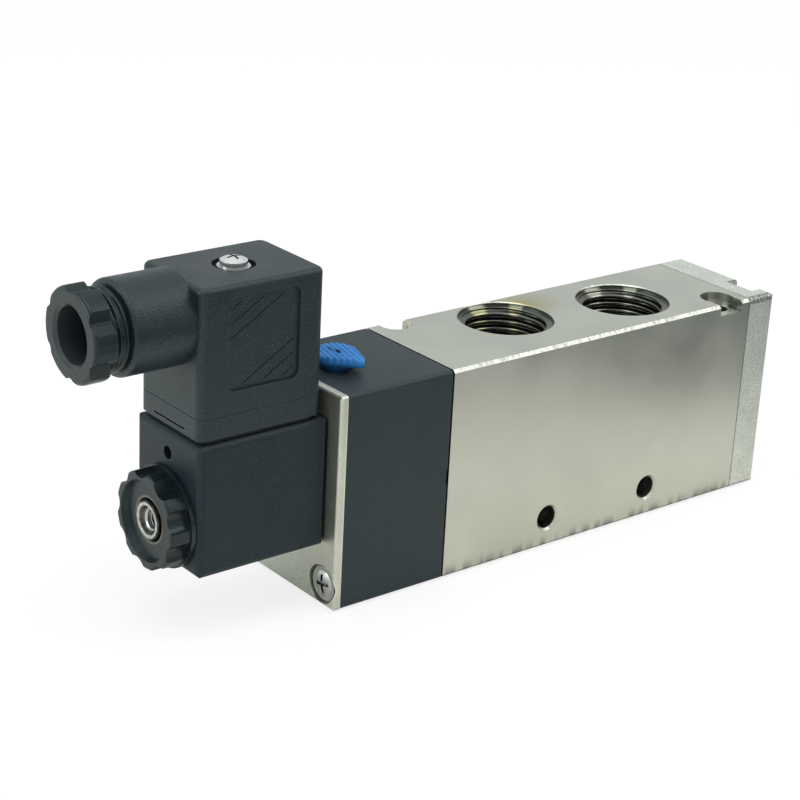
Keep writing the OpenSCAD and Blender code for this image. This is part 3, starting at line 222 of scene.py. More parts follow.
class Finish(Graph):
    """One material over Object coordinates, and the patterns that the finishes are mixed from."""

    def __init__(self, name, rough, metal=0.0, gloss=0.5):
        self.material = bpy.data.materials.new(name)
        super().__init__(self.material)
        self.shader = self.nodes.new("ShaderNodeBsdfPrincipled")
        self.shader.inputs["Roughness"].default_value = rough
        self.shader.inputs["Metallic"].default_value = metal
        self.shader.inputs["Specular IOR Level"].default_value = gloss
        self.surface("ShaderNodeOutputMaterial", self.shader.outputs["BSDF"])
        self.where = self.nodes.new("ShaderNodeTexCoord").outputs["Object"]
        self.normal = None

    def place(self, stretch=(1.0, 1.0, 1.0), turn=(0.0, 0.0, 0.0), centre=(0.0, 0.0, 0.0)):
        """Object coordinates, moved so that centre is zero, turned and stretched."""
        moved = self.nodes.new("ShaderNodeMapping")
        moved.vector_type = "TEXTURE"
        moved.inputs["Location"].default_value = centre
        moved.inputs["Rotation"].default_value = [math.radians(angle) for angle in turn]
        moved.inputs["Scale"].default_value = stretch
        self.links.new(self.where, moved.inputs["Vector"])
        return moved.outputs["Vector"]

    def grain(self, size, stretch=(1.0, 1.0, 1.0), turn=(0.0, 0.0, 0.0), detail=2.0):
        """Cloudy noise with blobs about size metres across, longer where stretch is above 1."""
        noise = self.nodes.new("ShaderNodeTexNoise")
        noise.inputs["Scale"].default_value = 1 / size
        noise.inputs["Detail"].default_value = detail
        self.links.new(self.place(stretch, turn), noise.inputs["Vector"])
        return noise.outputs["Fac"]

    def cells(self, size):
        """Distance to the nearest of scattered points about size metres apart: rounded pits."""
        pits = self.nodes.new("ShaderNodeTexVoronoi")
        pits.inputs["Scale"].default_value = 1 / size
        self.links.new(self.place(), pits.inputs["Vector"])
        return pits.outputs["Distance"]

    def rings(self, pitch, axis):
        """Even waves of that pitch along one axis, as a lathe or a wound wire leaves them."""
        wave = self.nodes.new("ShaderNodeTexWave")
        wave.bands_direction = axis
        wave.inputs["Scale"].default_value = WAVE_SCALE / pitch
        self.links.new(self.place(), wave.inputs["Vector"])
        return wave.outputs["Fac"]

    def edges(self, radius):
        """1 along outer and inner edges, 0 away from them: how far a rounded normal leans off."""
        rounded = self.nodes.new("ShaderNodeBevel")
        rounded.samples = 6
        rounded.inputs["Radius"].default_value = radius
        straight = self.nodes.new("ShaderNodeNewGeometry")
        return self.span(self.dot(rounded.outputs["Normal"], straight.outputs["Normal"]), 0.99, 0.8)

    def recess_shade(self, reach):
        """Mask of painted shade: 1 in the open, towards 0 in holes and corners narrower than reach.
        """
        painted_shade_mask = self.nodes.new("ShaderNodeAmbientOcclusion")
        painted_shade_mask.samples = 8
        painted_shade_mask.inputs["Distance"].default_value = reach
        return painted_shade_mask.outputs["AO"]

    def blob(self, stretch, centre, turn=(0.0, 0.0, 0.0)):
        """1 at a centre and 0 from an ellipsoid with those half axes on outwards."""
        ball = self.nodes.new("ShaderNodeTexGradient")
        ball.gradient_type = "SPHERICAL"
        self.links.new(self.place(stretch, turn, centre), ball.inputs["Vector"])
        return ball.outputs["Fac"]

    def height(self, low, high):
        """0 at the height low and 1 at the height high, in object coordinates."""
        parts = self.nodes.new("ShaderNodeSeparateXYZ")
        self.links.new(self.where, parts.inputs["Vector"])
        return self.span(parts.outputs["Z"], low, high)

    def facing(self, first, second):
        """Size of the product of two parts of the normal, such as Y and Z on a 45 degree bevel."""
        normal = self.nodes.new("ShaderNodeSeparateXYZ")
        coordinates = self.nodes.new("ShaderNodeTexCoord")
        self.links.new(coordinates.outputs["Normal"], normal.inputs["Vector"])
        product = self.maths("MULTIPLY", normal.outputs[first], normal.outputs[second])
        return self.maths("ABSOLUTE", product)

    def relief(self, height, depth):
        """Adds bumps of that depth in metres where height goes from 0 to 1."""
        bump = self.nodes.new("ShaderNodeBump")
        bump.inputs["Distance"].default_value = depth
        self.links.new(height, bump.inputs["Height"])
        if self.normal:
            self.links.new(self.normal, bump.inputs["Normal"])
        self.normal = bump.outputs["Normal"]
        self.links.new(self.normal, self.shader.inputs["Normal"])

    def colour(self, value):
        self.feed(self.shader.inputs["Base Color"], value)

    def rough(self, value):
        self.feed(self.shader.inputs["Roughness"], value)


def tinted(colour, factor):
    """The same colour, lighter or darker by a factor, within 0 to 1."""
    return tuple(min(1.0, channel * factor) for channel in colour)


def greyed(colour, factor):
    """A neutral shade as light as the colour times a factor, with a trace of its hue."""
    grey = factor * sum(colour) / 3
    return tuple(0.75 * grey + 0.25 * factor * channel for channel in colour)


PAINTED_GLEAMS = ((88, 3.4 * MM), (36, 2.4 * MM))  # angle in degrees and half width of each stripe of painted highlight
GLEAM_RADIUS = 10.8 * MM  # distance of the stripes from a port's axis
GLEAM_REACH = 60 * MM  # height over which the stripes fade
WALL_REACH = 11.75 * MM  # radius round a port within which its walls get painted shade, short of the faces
WALL_TOP = (49.85 * MM, 49.7 * MM)  # heights between which that shade comes in
WALL_FLOOR = (37 * MM, 38 * MM)  # and between which it ends, at the port's depth


def outlets():
    """Middles of the two ports on top, as x and y."""
    mounts = frame["record"]["mounts"]
    return [mount["pos_m"][:2] for mount in mounts if mount["name"] in ("port_2", "port_4")]


def painted_port_gleams(finish):
    """1 in two upright stripes of painted highlight on each top port's far wall, and 0 elsewhere."""
    light = 0.0
    for x, y in outlets():
        for degrees, half in PAINTED_GLEAMS:
            angle = math.radians(degrees)
            centre = (x + GLEAM_RADIUS * math.cos(angle), y + GLEAM_RADIUS * math.sin(angle),
                      BODY_TOP)
            light = finish.maths("MAXIMUM", finish.blob((half, half, GLEAM_REACH), centre), light)
    return finish.span(light, 0.1, 0.55)


def port_walls(finish):
    """1 on the walls of the ports on top, from just under the top face down, and 0 elsewhere."""
    within = 0.0
    for x, y in outlets():
        beside = finish.blob((WALL_REACH, WALL_REACH, 1.0), (x, y, BODY_TOP))
        within = finish.maths("MAXIMUM", beside, within)
    band = finish.maths("MULTIPLY", finish.height(*WALL_TOP), finish.height(*WALL_FLOOR))
    return finish.maths("MULTIPLY", finish.span(within, 0.0, 0.04), band)


def nickel_body(looks):
    """Ground and plated block: lapping lines, soft clouds, chattered bevels and one warm stain.

    Painted shade darkens its recesses and the top ports' walls, with upright painted light streaks.
    """
    base, rough = looks.nickel, looks.nickel_rough
    finish = Finish("nickel_body", rough, metal=1.0)
    cloud = finish.grain(22 * MM, detail=3.0)
    lines = finish.grain(0.5 * MM, stretch=(30.0, 1.0, 1.0))
    cross = finish.grain(0.6 * MM, stretch=(1.0, 1.0, 14.0), turn=(0.0, 52.0, 0.0))
    bevel = finish.span(finish.facing(1, 2), 0.3, 0.45)
    chatter = finish.grain(0.7 * MM, stretch=(1.0, 3.0, 3.0), detail=4.0)
    shade = finish.mixed(finish.span(cloud, 0.3, 0.7), tinted(base, 0.92), tinted(base, 1.04))
    stain = finish.blob((12 * MM, 9 * MM, 5 * MM), (-6.5 * MM, 9.5 * MM, BODY_TOP))
    stained = finish.mixed(finish.maths("MULTIPLY", stain, 0.95), shade, looks.stain)
    struck = finish.mixed(finish.span(chatter, 0.36, 0.56), tinted(base, 0.62), tinted(base, 0.98))
    open_colour = finish.mixed(bevel, stained, struck)
    # Painted shade in recesses, with upright streaks of painted reflection in it.
    streaks = finish.span(finish.grain(2.6 * MM, stretch=(1.0, 1.0, 40.0), detail=1.0), 0.42, 0.6)
    painted_recess_shade = finish.mixed(streaks, tinted(base, 0.14), tinted(base, 0.95))
    skin = finish.mixed(finish.span(finish.recess_shade(5 * MM), 0.4, 0.93), painted_recess_shade, open_colour)
    # Painted shade on the walls of the ports on top, with upright stripes of painted highlight.
    wall = finish.mixed(painted_port_gleams(finish), tinted(base, 0.3), tinted(base, 1.15))
    finish.colour(finish.mixed(port_walls(finish), skin, wall))
    finish.rough(finish.maths("ADD", finish.span(cloud, 0.25, 0.75, rough - 0.05, rough + 0.06),
                              finish.maths("MULTIPLY", lines, 0.05)))
    finish.relief(lines, 0.006 * MM)
    finish.relief(cross, 0.004 * MM)
    finish.relief(finish.maths("MULTIPLY", chatter, bevel), 0.16 * MM)
    return finish.material


def cut_thread(looks, centre):
    """Thread cut in the plated block: painted shade, upright painted highlights, warm near centre."""
    base = tinted(looks.nickel, 0.8)
    finish = Finish("cut_thread", 0.27, metal=1.0)
    warm = finish.span(finish.blob((20 * MM, 20 * MM, 20 * MM), centre), 0.0, 0.45, 0.0, 0.8)
    tone = finish.mixed(warm, base, (0.5, 0.46, 0.25))
    # Painted shade, with stripes of painted highlight, and deeper painted shade in recesses.
    thread_shade_and_gleams = finish.mixed(painted_port_gleams(finish), tinted(base, 0.3), tone)
    painted_shade_mask = finish.span(finish.recess_shade(4 * MM), 0.3, 0.9)
    finish.colour(finish.mixed(painted_shade_mask, tinted(base, 0.22), thread_shade_and_gleams))
    finish.relief(finish.rings(0.22 * MM, "Z"), 0.01 * MM)
    finish.relief(finish.grain(0.8 * MM, detail=3.0), 0.02 * MM)
    return finish.material


def nickel_cast(name, base, rough, grit, mottle, reach, edge_tone, edge_rough, edge=None):
    """Plated blasted piece: fine pits, cloudy tone, toned edges, painted shade in its recesses.

    The optional edge is the middle of one long edge whose blasting is worn dark and grainy.
    """
    finish = Finish(name, rough, metal=1.0)
    cloud = finish.grain(6 * MM, detail=3.0)
    grains = finish.grain(0.55 * MM, detail=4.0)
    rubbed = finish.edges(0.7 * MM)
    skin = finish.mixed(finish.span(cloud, 0.3, 0.7), tinted(base, 1.0), tinted(base, 1.12))
    skin = finish.mixed(finish.span(grains, 0.56, 0.7), skin, tinted(base, 1.1 + mottle))
    skin = finish.mixed(finish.span(grains, 0.46, 0.34), skin, tinted(base, 1.0 - mottle))
    worn = finish.mixed(rubbed, skin, tinted(base, edge_tone))
    if edge:
        line = finish.span(finish.blob((30 * MM, 1.5 * MM, 1.5 * MM), edge), 0.02, 0.3)
        dark = finish.maths("MULTIPLY", line, finish.span(grains, 0.6, 0.4, 0.35, 1.0))
        worn = finish.mixed(dark, worn, tinted(base, 0.32))
    # Painted shade in recesses narrower than reach.
    painted_shade_mask = finish.span(finish.recess_shade(reach), 0.2, 0.75)
    finish.colour(finish.mixed(painted_shade_mask, tinted(base, 0.35), worn))
    finish.rough(finish.span(rubbed, 0.0, 1.0, rough, edge_rough))
    finish.relief(finish.cells(0.7 * MM), grit)
    finish.relief(grains, grit)
    return finish.material


def turned_metal(name, base, rough, pitch=0.35 * MM, depth=0.012 * MM):
    """Lathe-turned metal: fine rings along X, a little uneven, with a clouded gloss."""
    finish = Finish(name, rough, metal=1.0)
    cloud = finish.grain(3 * MM, detail=3.0)
    tone = finish.mixed(finish.span(cloud, 0.3, 0.7), tinted(base, 0.86), tinted(base, 1.08))
    finish.colour(tone)
    finish.rough(finish.span(cloud, 0.25, 0.75, rough * 0.8, rough * 1.3))
    finish.relief(finish.rings(pitch, "X"), depth)
    return finish.material


def stub_metal(base):
    """Turned end of the core: a bright ring on its face, painted shade in the thread and at its rim.

    The ring lies where one less the distance from the axis, as a share of 5 mm, is 0.24 to 0.34.
    """
    finish = Finish("stub_metal", 0.2, metal=1.0)
    nearness = finish.blob((1.0, 5 * MM, 5 * MM), sum(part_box("fixed_core"), Vector()) / 2)
    outer, inner = finish.span(nearness, 0.2, 0.24), finish.span(nearness, 0.39, 0.34)
    uneven = finish.span(finish.grain(1.1 * MM, detail=3.0), 0.35, 0.65)
    bright = finish.mixed(uneven, tinted(base, 0.95), tinted(base, 1.3))
    # Painted shade in the thread and round the rim, outside the ring.
    dark = finish.mixed(uneven, tinted(base, 0.05), tinted(base, 0.2))
    finish.colour(finish.mixed(finish.maths("MULTIPLY", outer, inner), dark, bright))
    finish.relief(finish.rings(0.35 * MM, "X"), 0.012 * MM)
    return finish.material


def plated_steel(name, base, rough, metal=1.0):
    """Zinc-plated steel: bright, faintly mottled, small handling marks, painted shade in recesses."""
    finish = Finish(name, rough, metal=metal)
    mottle = finish.grain(0.9 * MM, detail=4.0)
    marks = finish.grain(0.6 * MM, stretch=(5.0, 1.0, 1.0), turn=(0.0, 0.0, 35.0))
    mottled = finish.mixed(mottle, tinted(base, 0.82), tinted(base, 1.06))
    bright = finish.mixed(finish.span(marks, 0.62, 0.75), mottled, tinted(base, 0.6))
    # Painted shade, near black, in recesses such as the crosses of screw heads.
    painted_shade_mask = finish.span(finish.recess_shade(1.2 * MM), 0.35, 0.8)
    finish.colour(finish.mixed(painted_shade_mask, tinted(base, 0.08), bright))
    finish.rough(finish.span(mottle, 0.3, 0.7, rough * 0.7, rough * 1.35))
    finish.relief(mottle, 0.015 * MM)
    return finish.material


MOULDING_GLOSS = (0.86, 1.0, 0.97)  # faint green of the light on the black mouldings


def moulding(name, base, rough, gloss=0.27, erosion=0.5 * MM, depth=0.03 * MM, edge_wear_and_sheen=5.0, speck=3.4,
             mouth=None, hollow=None):
    """Glass-filled moulding: spark-eroded skin, pale glass specks, rubbed edges, soft clouds.

    The specks and the edges are speck and edge_wear_and_sheen times as light as the base, and
    nearly grey; the edges are rubbed, and carry a painted highlight.
    The optional mouth, the radius and middle of a bore along X, gets painted light inside. The
    optional hollow, the half axes, middle and turn of a dip, gets painted shade, and so do the
    corners.
    """
    finish = Finish(name, rough, gloss=gloss)
    finish.feed(finish.shader.inputs["Specular Tint"], MOULDING_GLOSS)
    pits = finish.cells(erosion)
    fibre = finish.grain(0.34 * MM, detail=4.0)
    cloud = finish.grain(14 * MM, detail=2.0)
    specks = finish.span(fibre, 0.58, 0.7)
    rubbed = finish.edges(0.28 * MM)
    body = finish.mixed(finish.span(cloud, 0.3, 0.7), tinted(base, 0.86), tinted(base, 1.12))
    body = finish.mixed(finish.maths("MULTIPLY", specks, 0.7), body, greyed(base, speck))
    # Lighter edges: rubbed, and a painted highlight along them.
    body = finish.mixed(finish.maths("MULTIPLY", rubbed, 0.7), body, greyed(base, edge_wear_and_sheen))
    if mouth:
        radius, centre = mouth
        # Painted light inside the mouth, fading along the bore from its front.
        inside = finish.span(finish.blob((1.0, radius, radius), centre), 0.075, 0.125)
        painted_mouth_light = finish.maths("MULTIPLY", inside, finish.blob((11 * MM, 1.0, 1.0), centre))
        body = finish.mixed(painted_mouth_light, body, greyed(base, 3.5))
    if hollow:
        # Painted shade in the dip, and in the corners.
        body = finish.mixed(finish.span(finish.blob(*hollow), 0.05, 0.4), body, tinted(base, 0.25))
        body = finish.mixed(finish.span(finish.recess_shade(2 * MM), 0.35, 0.8), tinted(base, 0.2), body)
    finish.colour(body)
    clouded = finish.span(cloud, 0.25, 0.75, rough - 0.04, rough + 0.05)
    finish.rough(finish.maths("SUBTRACT", clouded, finish.maths("MULTIPLY", rubbed, 0.1)))
    finish.relief(pits, depth)
    finish.relief(fibre, depth * 0.8)
    return finish.material


def soft_rubber(name, base, rough):
    """Black rubber with a dusty bloom and small pores."""
    finish = Finish(name, rough, gloss=0.3)
    bloom = finish.grain(2.4 * MM, detail=4.0)
    finish.colour(finish.mixed(finish.span(bloom, 0.35, 0.75), base, tinted(base, 2.4)))
    finish.rough(finish.span(bloom, 0.3, 0.7, rough - 0.08, rough + 0.1))
    finish.relief(finish.cells(0.4 * MM), 0.02 * MM)
    return finish.material


def pale_plastic(name, base, rough):
    """Unfilled engineering plastic: smooth, a little waxy, with faint flow clouds."""
    finish = Finish(name, rough, gloss=0.45)
    flow = finish.grain(5 * MM, stretch=(3.0, 1.0, 1.0), detail=3.0)
    finish.colour(finish.mixed(finish.span(flow, 0.3, 0.7), tinted(base, 0.9), tinted(base, 1.04)))
    finish.rough(finish.span(flow, 0.3, 0.7, rough - 0.05, rough + 0.08))
    finish.relief(finish.grain(0.5 * MM), 0.01 * MM)
    return finish.material


def wound_wire(name, base, pitch):
    """Enamelled wire wound side by side: round ridges along the coil, painted shade in the gaps."""
    finish = Finish(name, 0.3, metal=1.0)
    turns = finish.rings(pitch, "X")
    layers = finish.grain(1.6 * MM, stretch=(1.0, 6.0, 6.0), detail=2.0)
    # Painted shade in the gaps between the turns.
    finish.colour(finish.mixed(finish.span(turns, 0.0, 0.45),
                               tinted(base, 0.35), finish.mixed(layers, tinted(base, 0.85), base)))
    finish.rough(finish.span(layers, 0.3, 0.7, 0.24, 0.38))
    finish.relief(turns, 0.05 * MM)
    return finish.material


DIP_BEHIND = 0.4 * MM  # distance of the dip's middle from the lever's axis, away from the tip


def lever_hollow():
    """Half axes, middle and turn of the dip along the middle of the hand lever's top."""
    turn = bpy.context.scene.valve_threads.grip_turn - 90
    ring, top = sum(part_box("override_seal"), Vector()) / 2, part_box("override_lever")[1].z
    centre = (ring.x - DIP_BEHIND * math.cos(math.radians(turn)),
              ring.y - DIP_BEHIND * math.sin(math.radians(turn)), top)
    return (2.7 * MM, 0.95 * MM, 1.2 * MM), centre, (0.0, 0.0, turn)


def gland_mouth():
    """Middle of the cable gland's front, where the cable goes in."""
    low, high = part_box("gland_nut")
    return low.x, (low.y + high.y) / 2, (low.z + high.z) / 2


def make_finishes():
    """Every finish of the valve by name, made once from the values in the panel."""
    metal = bpy.context.scene.valve_metal
    plastic = bpy.context.scene.valve_plastic
    return {
        "body_metal": nickel_body(metal),
        "thread_metal": cut_thread(metal, (-15 * MM, 3 * MM, 48 * MM)),
        "cap_metal": nickel_cast("nickel_cap", metal.cap, metal.cap_rough, grit=0.08 * MM,
                                 mottle=0.2, reach=3 * MM, edge_tone=0.28, edge_rough=0.6,
                                 edge=(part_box("end_cap")[1].x, -15.7 * MM, 49.7 * MM)),
        "plate_metal": nickel_cast("nickel_plate", metal.nickel, 0.46, grit=0.02 * MM,
                                   mottle=0.05, reach=0.8 * MM, edge_tone=1.3, edge_rough=0.24),
        "block_plastic": moulding("block_moulding", plastic.block, 0.48, gloss=0.46, speck=2.8),
        "coil_plastic": moulding("coil_moulding", plastic.coil, 0.46, depth=0.02 * MM, speck=2.4),
        "connector_plastic": moulding("connector_moulding", plastic.connector, 0.4,
                                      gloss=0.5, depth=0.05 * MM, speck=5.0),
        "nut_plastic": moulding("nut_moulding", plastic.nut, 0.28, gloss=0.38,
                                depth=0.012 * MM, speck=3.0),
        "gland_plastic": moulding("gland_moulding", plastic.nut, 0.28, gloss=0.33,
                                  depth=0.012 * MM, speck=2.4, mouth=(7.4 * MM, gland_mouth())),
        "blue_plastic": moulding("blue_moulding", plastic.lever, 0.36, gloss=0.45,
                                 depth=0.012 * MM, edge_wear_and_sheen=1.0, speck=0.9, hollow=lever_hollow()),
        "piston_plastic": pale_plastic("piston_moulding", plastic.piston, 0.36),
        "bobbin_plastic": pale_plastic("bobbin_moulding", plastic.bobbin, 0.4),
        "zinc_steel": plated_steel("zinc_screws", metal.zinc, 0.2),
        "small_screw": plated_steel("glossy_zinc", tinted(metal.zinc, 1.3), 0.14, metal=0.75),
        "insert_steel": turned_metal("insert_steel", (0.15, 0.16, 0.14), 0.32, depth=0.006 * MM),
        "core_steel": turned_metal("turned_steel", metal.steel, 0.24),
        "stub_steel": stub_metal(metal.steel),
        "spring_steel": turned_metal("spring_wire", metal.spring, 0.3, pitch=0.2 * MM,
                                     depth=0.004 * MM),
        "contact_metal": plated_steel("tinned_contacts", (0.72, 0.71, 0.67), 0.28),
        "spool_alloy": turned_metal("turned_alloy", metal.alloy, 0.26, pitch=0.3 * MM),
        "brass": turned_metal("turned_brass", metal.brass, 0.26, pitch=0.4 * MM),
        "copper": wound_wire("wound_copper", metal.copper, 0.3 * MM),
        # A lighter copy of the seal rubber: painted light inside the cable gland.
        "sleeve_rubber_painted_light": soft_rubber("sleeve_rubber_painted_light", (0.03, 0.042, 0.045), 0.5),
        "seal_rubber": soft_rubber("seal_rubber", plastic.rubber, 0.5),
        "gasket_rubber": soft_rubber("gasket_rubber", plastic.rubber, 0.66),
    }


FINISHES = {}
OWN_FINISH = {  # of the nodes that look different from the others in their slot
    "adapter_plate": "plate_metal",
    "connector_screw": "small_screw",
    "nut_insert": "insert_steel",
    "fixed_core": "stub_steel",
    "gland_nut": "gland_plastic",
    # painted light: a lighter copy of the seal rubber
    "gland_seal": "sleeve_rubber_painted_light",
}


def finish_of(name):
    """The finish of that name, with all of them made at the first call."""
    if not FINISHES:
        FINISHES.update(make_finishes())
    return FINISHES[name]


def dress(*nodes):
    """Puts on each frame node the finish of its slot in the record."""
    slots = {part["node"]: part["material_slot"] for part in frame["record"]["subparts"]}
    for node in nodes:
        wanted = finish_of(OWN_FINISH.get(node, slots[node]))
        thing = frame["nodes"][node]
        if not thing.material_slots:
            thing.data.materials.append(wanted)
        for place in thing.material_slots:
            place.material = wanted


# ---------------------------------------------------------------- shapes


def grid_faces(rows, columns):
    """Four-cornered faces of a grid that closes on itself both ways, numbered row by row."""
    row, column = np.arange(rows)[:, None], np.arange(columns)[None, :]
    below, beside = (row + 1) % rows, (column + 1) % columns
    corners = (row * columns + column, row * columns + beside,
               below * columns + beside, below * columns + column)
    return np.stack(np.broadcast_arrays(*corners), axis=-1).reshape(-1, 4)


def signed_volume(points, faces):
    """Sixth of the sum of each triangle's corner triple product: above 0 where faces point out."""
    total = 0.0
    for i, j, k in ((0, 1, 2), (0, 2, 3)):
        a, b, c = points[faces[:, i]], points[faces[:, j]], points[faces[:, k]]
        total += float(np.einsum("ij,ij->", a, np.cross(b, c))) / 6
    return total


def solid_grid(name, points, finish, body):
    """A smooth closed piece from a grid of points that goes round both ways, faces outwards."""
    flat = points.reshape(-1, 3)
    faces = grid_faces(*points.shape[:2])
    if signed_volume(flat, faces) < 0:
        faces = faces[:, ::-1]
    mesh = bpy.data.meshes.new(name)
    mesh.from_pydata(flat.tolist(), [], faces.tolist())
    mesh.polygons.foreach_set("use_smooth", np.full(len(faces), True))
    mesh.update()
    piece = bpy.data.objects.new(name, mesh)
    bpy.context.scene.collection.objects.link(piece)
    mesh.materials.append(finish_of(finish))
    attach(piece, body)
    return piece


def thread_wave(turn):
    """0 at a root and 1 at a crest of a thread: a flat-topped wave of the share of one turn.

    Roots and crests are level over the share of half a wave that flat gives.
    """
    flat = 0.12
    rise = 1 - np.abs(2 * (turn % 1.0) - 1)
    return 0.5 - 0.5 * np.cos(np.pi * np.clip((rise - flat) / (1 - 2 * flat), 0, 1))


THREAD_ROWS = 16  # rows of points to each pitch of a thread
OFF_WALL = 0.015 * MM  # distance of a thread's root from the bore's own wall
PORT_THREAD = (0.95 * MM, 11.9 * MM)  # depths at which a port's thread starts and ends


def inner_thread(root, crest, pitch, start, end, facets, back=0.15 * MM):
    """Radius, depth and angle of a thread cut in a bore, as three grids of one shape.

    The radius is the root less the wave of depth over pitch minus angle over a full turn. The
    wave comes in over a fifth of the pitch, runs out over the last one, and stands a little off the
    bore's own wall, behind which the piece closes.
    """
    depth = np.linspace(start, end, int(round((end - start) / pitch * THREAD_ROWS)) + 1)[:, None]
    angle = np.linspace(0, 2 * np.pi, facets, endpoint=False)[None, :]
    height = (root - crest) * thread_wave(depth / pitch - angle / (2 * np.pi))
    height = height * np.clip(np.minimum((depth - start) * 5, end - depth) / pitch, 0, 1)
    radius = root - OFF_WALL - height
    radii = np.vstack([radius, np.full((2, facets), root + back)])
    depths = np.vstack([np.broadcast_to(depth, radius.shape),
                        np.full((1, facets), end), np.full((1, facets), start)])
    return radii, depths, np.broadcast_to(angle, radii.shape)


def upright_thread(name, x, y, face_z, into, sizes):
    """Pipe thread in a port: the grid of radius, depth and angle on the port's upright axis.

    The axis is at x and y, and into is 1 or -1, upwards or downwards from the face at face_z.
    """
    radii, depths, angles = inner_thread(
        sizes.port_root, sizes.port_crest, sizes.port_pitch, *PORT_THREAD, sizes.facets)
    points = np.stack([x + radii * np.cos(angles), y + radii * np.sin(angles) * into,
                       face_z + depths * into], axis=-1)
    return solid_grid(name, points, "thread_metal", "valve")


def lever_outline(angle, round_r, tip_r, reach):
    """Distance from the axis to the lever's outline: a large circle and a small one at its tip.

    At each angle it is the large circle's radius, or further on where the tip's circle or the
    line that touches both circles lies outside it; the tip points along angle zero.
    """
    touch = math.acos((round_r - tip_r) / reach)
    off = np.abs((angle + np.pi) % (2 * np.pi) - np.pi)
    tip_edge = math.atan2(tip_r * math.sin(touch), reach + tip_r * math.cos(touch))
    line = round_r / np.cos(np.clip(off - touch, -1.4, 1.4))
    tip = reach * np.cos(off) + np.sqrt(np.maximum(tip_r ** 2 - (reach * np.sin(off)) ** 2, 0))
    return np.where(off > touch, round_r, np.where(off > tip_edge, line, tip))


GRIP_COLUMNS, GRIP_ROWS = 240, 64  # points round the lever, and from its axis to its rim
GRIP_EYE = 0.004  # share of the outline to which the skin closes in its middle
GRIP_LEAST = 0.17 * MM  # height of the skin between its bumps
GRIP_LIFT = 0.02 * MM  # height of the skin in the dip


def lever_grip(sizes):
    """Knurled skin over the hand lever: staggered bumps, a dip in the middle, a rolled rim.

    The height over the lever's flat top is a least height and a bump height times a power of the
    product of two crossed half waves, both fading in a dip along the middle. Past the rim the
    skin drops down the lever's side, row by row, and closes inside the lever.
    """
    side = np.array([-0.25, -0.8, -1.4, -1.4, -0.1])[:, None] * MM
    rim = np.array([0.2, 0.24, 0.16, -0.2, -0.2])[:, None] * MM
    carried = np.array([1, 0.5, 0, 0, 0])[:, None]
    rolled = slice(GRIP_ROWS, GRIP_ROWS + len(side))
    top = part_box("override_lever")[1].z
    ring = sum(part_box("override_seal"), Vector()) / 2
    angle = np.linspace(0, 2 * np.pi, GRIP_COLUMNS, endpoint=False)[None, :]
    share = np.linspace(GRIP_EYE, 1.0, GRIP_ROWS)[:, None]
    outline = lever_outline(angle, sizes.grip_r, sizes.grip_tip, sizes.grip_reach)
    over = np.concatenate([share * outline, np.repeat(outline, len(side), axis=0),
                           GRIP_EYE * outline])
    along, across = over * np.cos(angle), over * np.sin(angle)
    row, slant = (along + sizes.grip_r) / (2 * sizes.grip_pitch) - 0.25, across / sizes.grip_pitch
    wave = np.abs(np.cos(np.pi * (row + slant)) * np.cos(np.pi * (row - slant))) ** 0.7
    dip = np.exp(-((along + DIP_BEHIND) / (2.4 * MM)) ** 6 - (across / (0.6 * MM)) ** 4)
    height = (GRIP_LEAST + sizes.grip_height * wave) * (1 - dip) + GRIP_LIFT
    height[rolled] = side + 0.4 * height[GRIP_ROWS - 1] * carried
    height[-1] = side[-1]
    over[rolled] += rim * (0.5 + 0.5 * wave[GRIP_ROWS - 1])
    along, across = over * np.cos(angle), over * np.sin(angle)
    turn = math.radians(sizes.grip_turn - 90)
    points = np.stack([ring.x + along * math.cos(turn) - across * math.sin(turn),
                       ring.y + along * math.sin(turn) + across * math.cos(turn),
                       top - sizes.grip_height + height], axis=-1)
    return solid_grid("grip_of_lever", points, "blue_plastic", "lever")


class VALVE_OT_nickel_parts(bpy.types.Operator):
    """Finishes the ground body, the blasted end cap, the adapter plate and the body's gaskets"""

    bl_idname = "valve.nickel_parts"
    bl_label = "Nickel-plated parts"

    def execute(self, context):
        dress("valve_body", "end_cap", "adapter_plate", "end_cap_gasket", "pilot_gasket")
        return {"FINISHED"}


class VALVE_OT_port_threads(bpy.types.Operator):
    """Cuts the pipe thread of the five ports, each a helix worked out on a grid"""

    bl_idname = "valve.port_threads"
    bl_label = "Port threads"

    def execute(self, context):
        sizes = context.scene.valve_threads
        low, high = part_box("valve_body")
        for mount in frame["record"]["mounts"]:
            if mount["name"].startswith("port_"):
                x, y = mount["pos_m"][:2]
                face_z, into = (high.z, -1) if mount["axis"][2] > 0 else (low.z, 1)
                upright_thread("thread_of_" + mount["name"], x, y, face_z, into, sizes)
        return {"FINISHED"}


class VALVE_OT_fasteners(bpy.types.Operator):
    """Finishes the zinc-plated screws of the plate, the end cap and the connector"""

    bl_idname = "valve.fasteners"
    bl_label = "Screws"

    def execute(self, context):
        dress("end_cap_screws", "plate_screws", "connector_screw")
        return {"FINISHED"}


class VALVE_OT_pilot_block(bpy.types.Operator):
    """Finishes the blue-black pilot block and its seat, and knurls the blue hand lever"""

    bl_idname = "valve.pilot_block"
    bl_label = "Pilot block and lever"

    def execute(self, context):
        dress("pilot_block", "pilot_seat", "override_lever", "override_seal")
        lever_grip(context.scene.valve_threads)
        return {"FINISHED"}


class VALVE_OT_spool_set(bpy.types.Operator):
    """Finishes the turned spool, its seals, the piston and the return spring"""

    bl_idname = "valve.spool_set"
    bl_label = "Spool and piston"

    def execute(self, context):
        dress("spool", "spool_seals", "pilot_piston", "piston_seal", "return_spring")
        return {"FINISHED"}


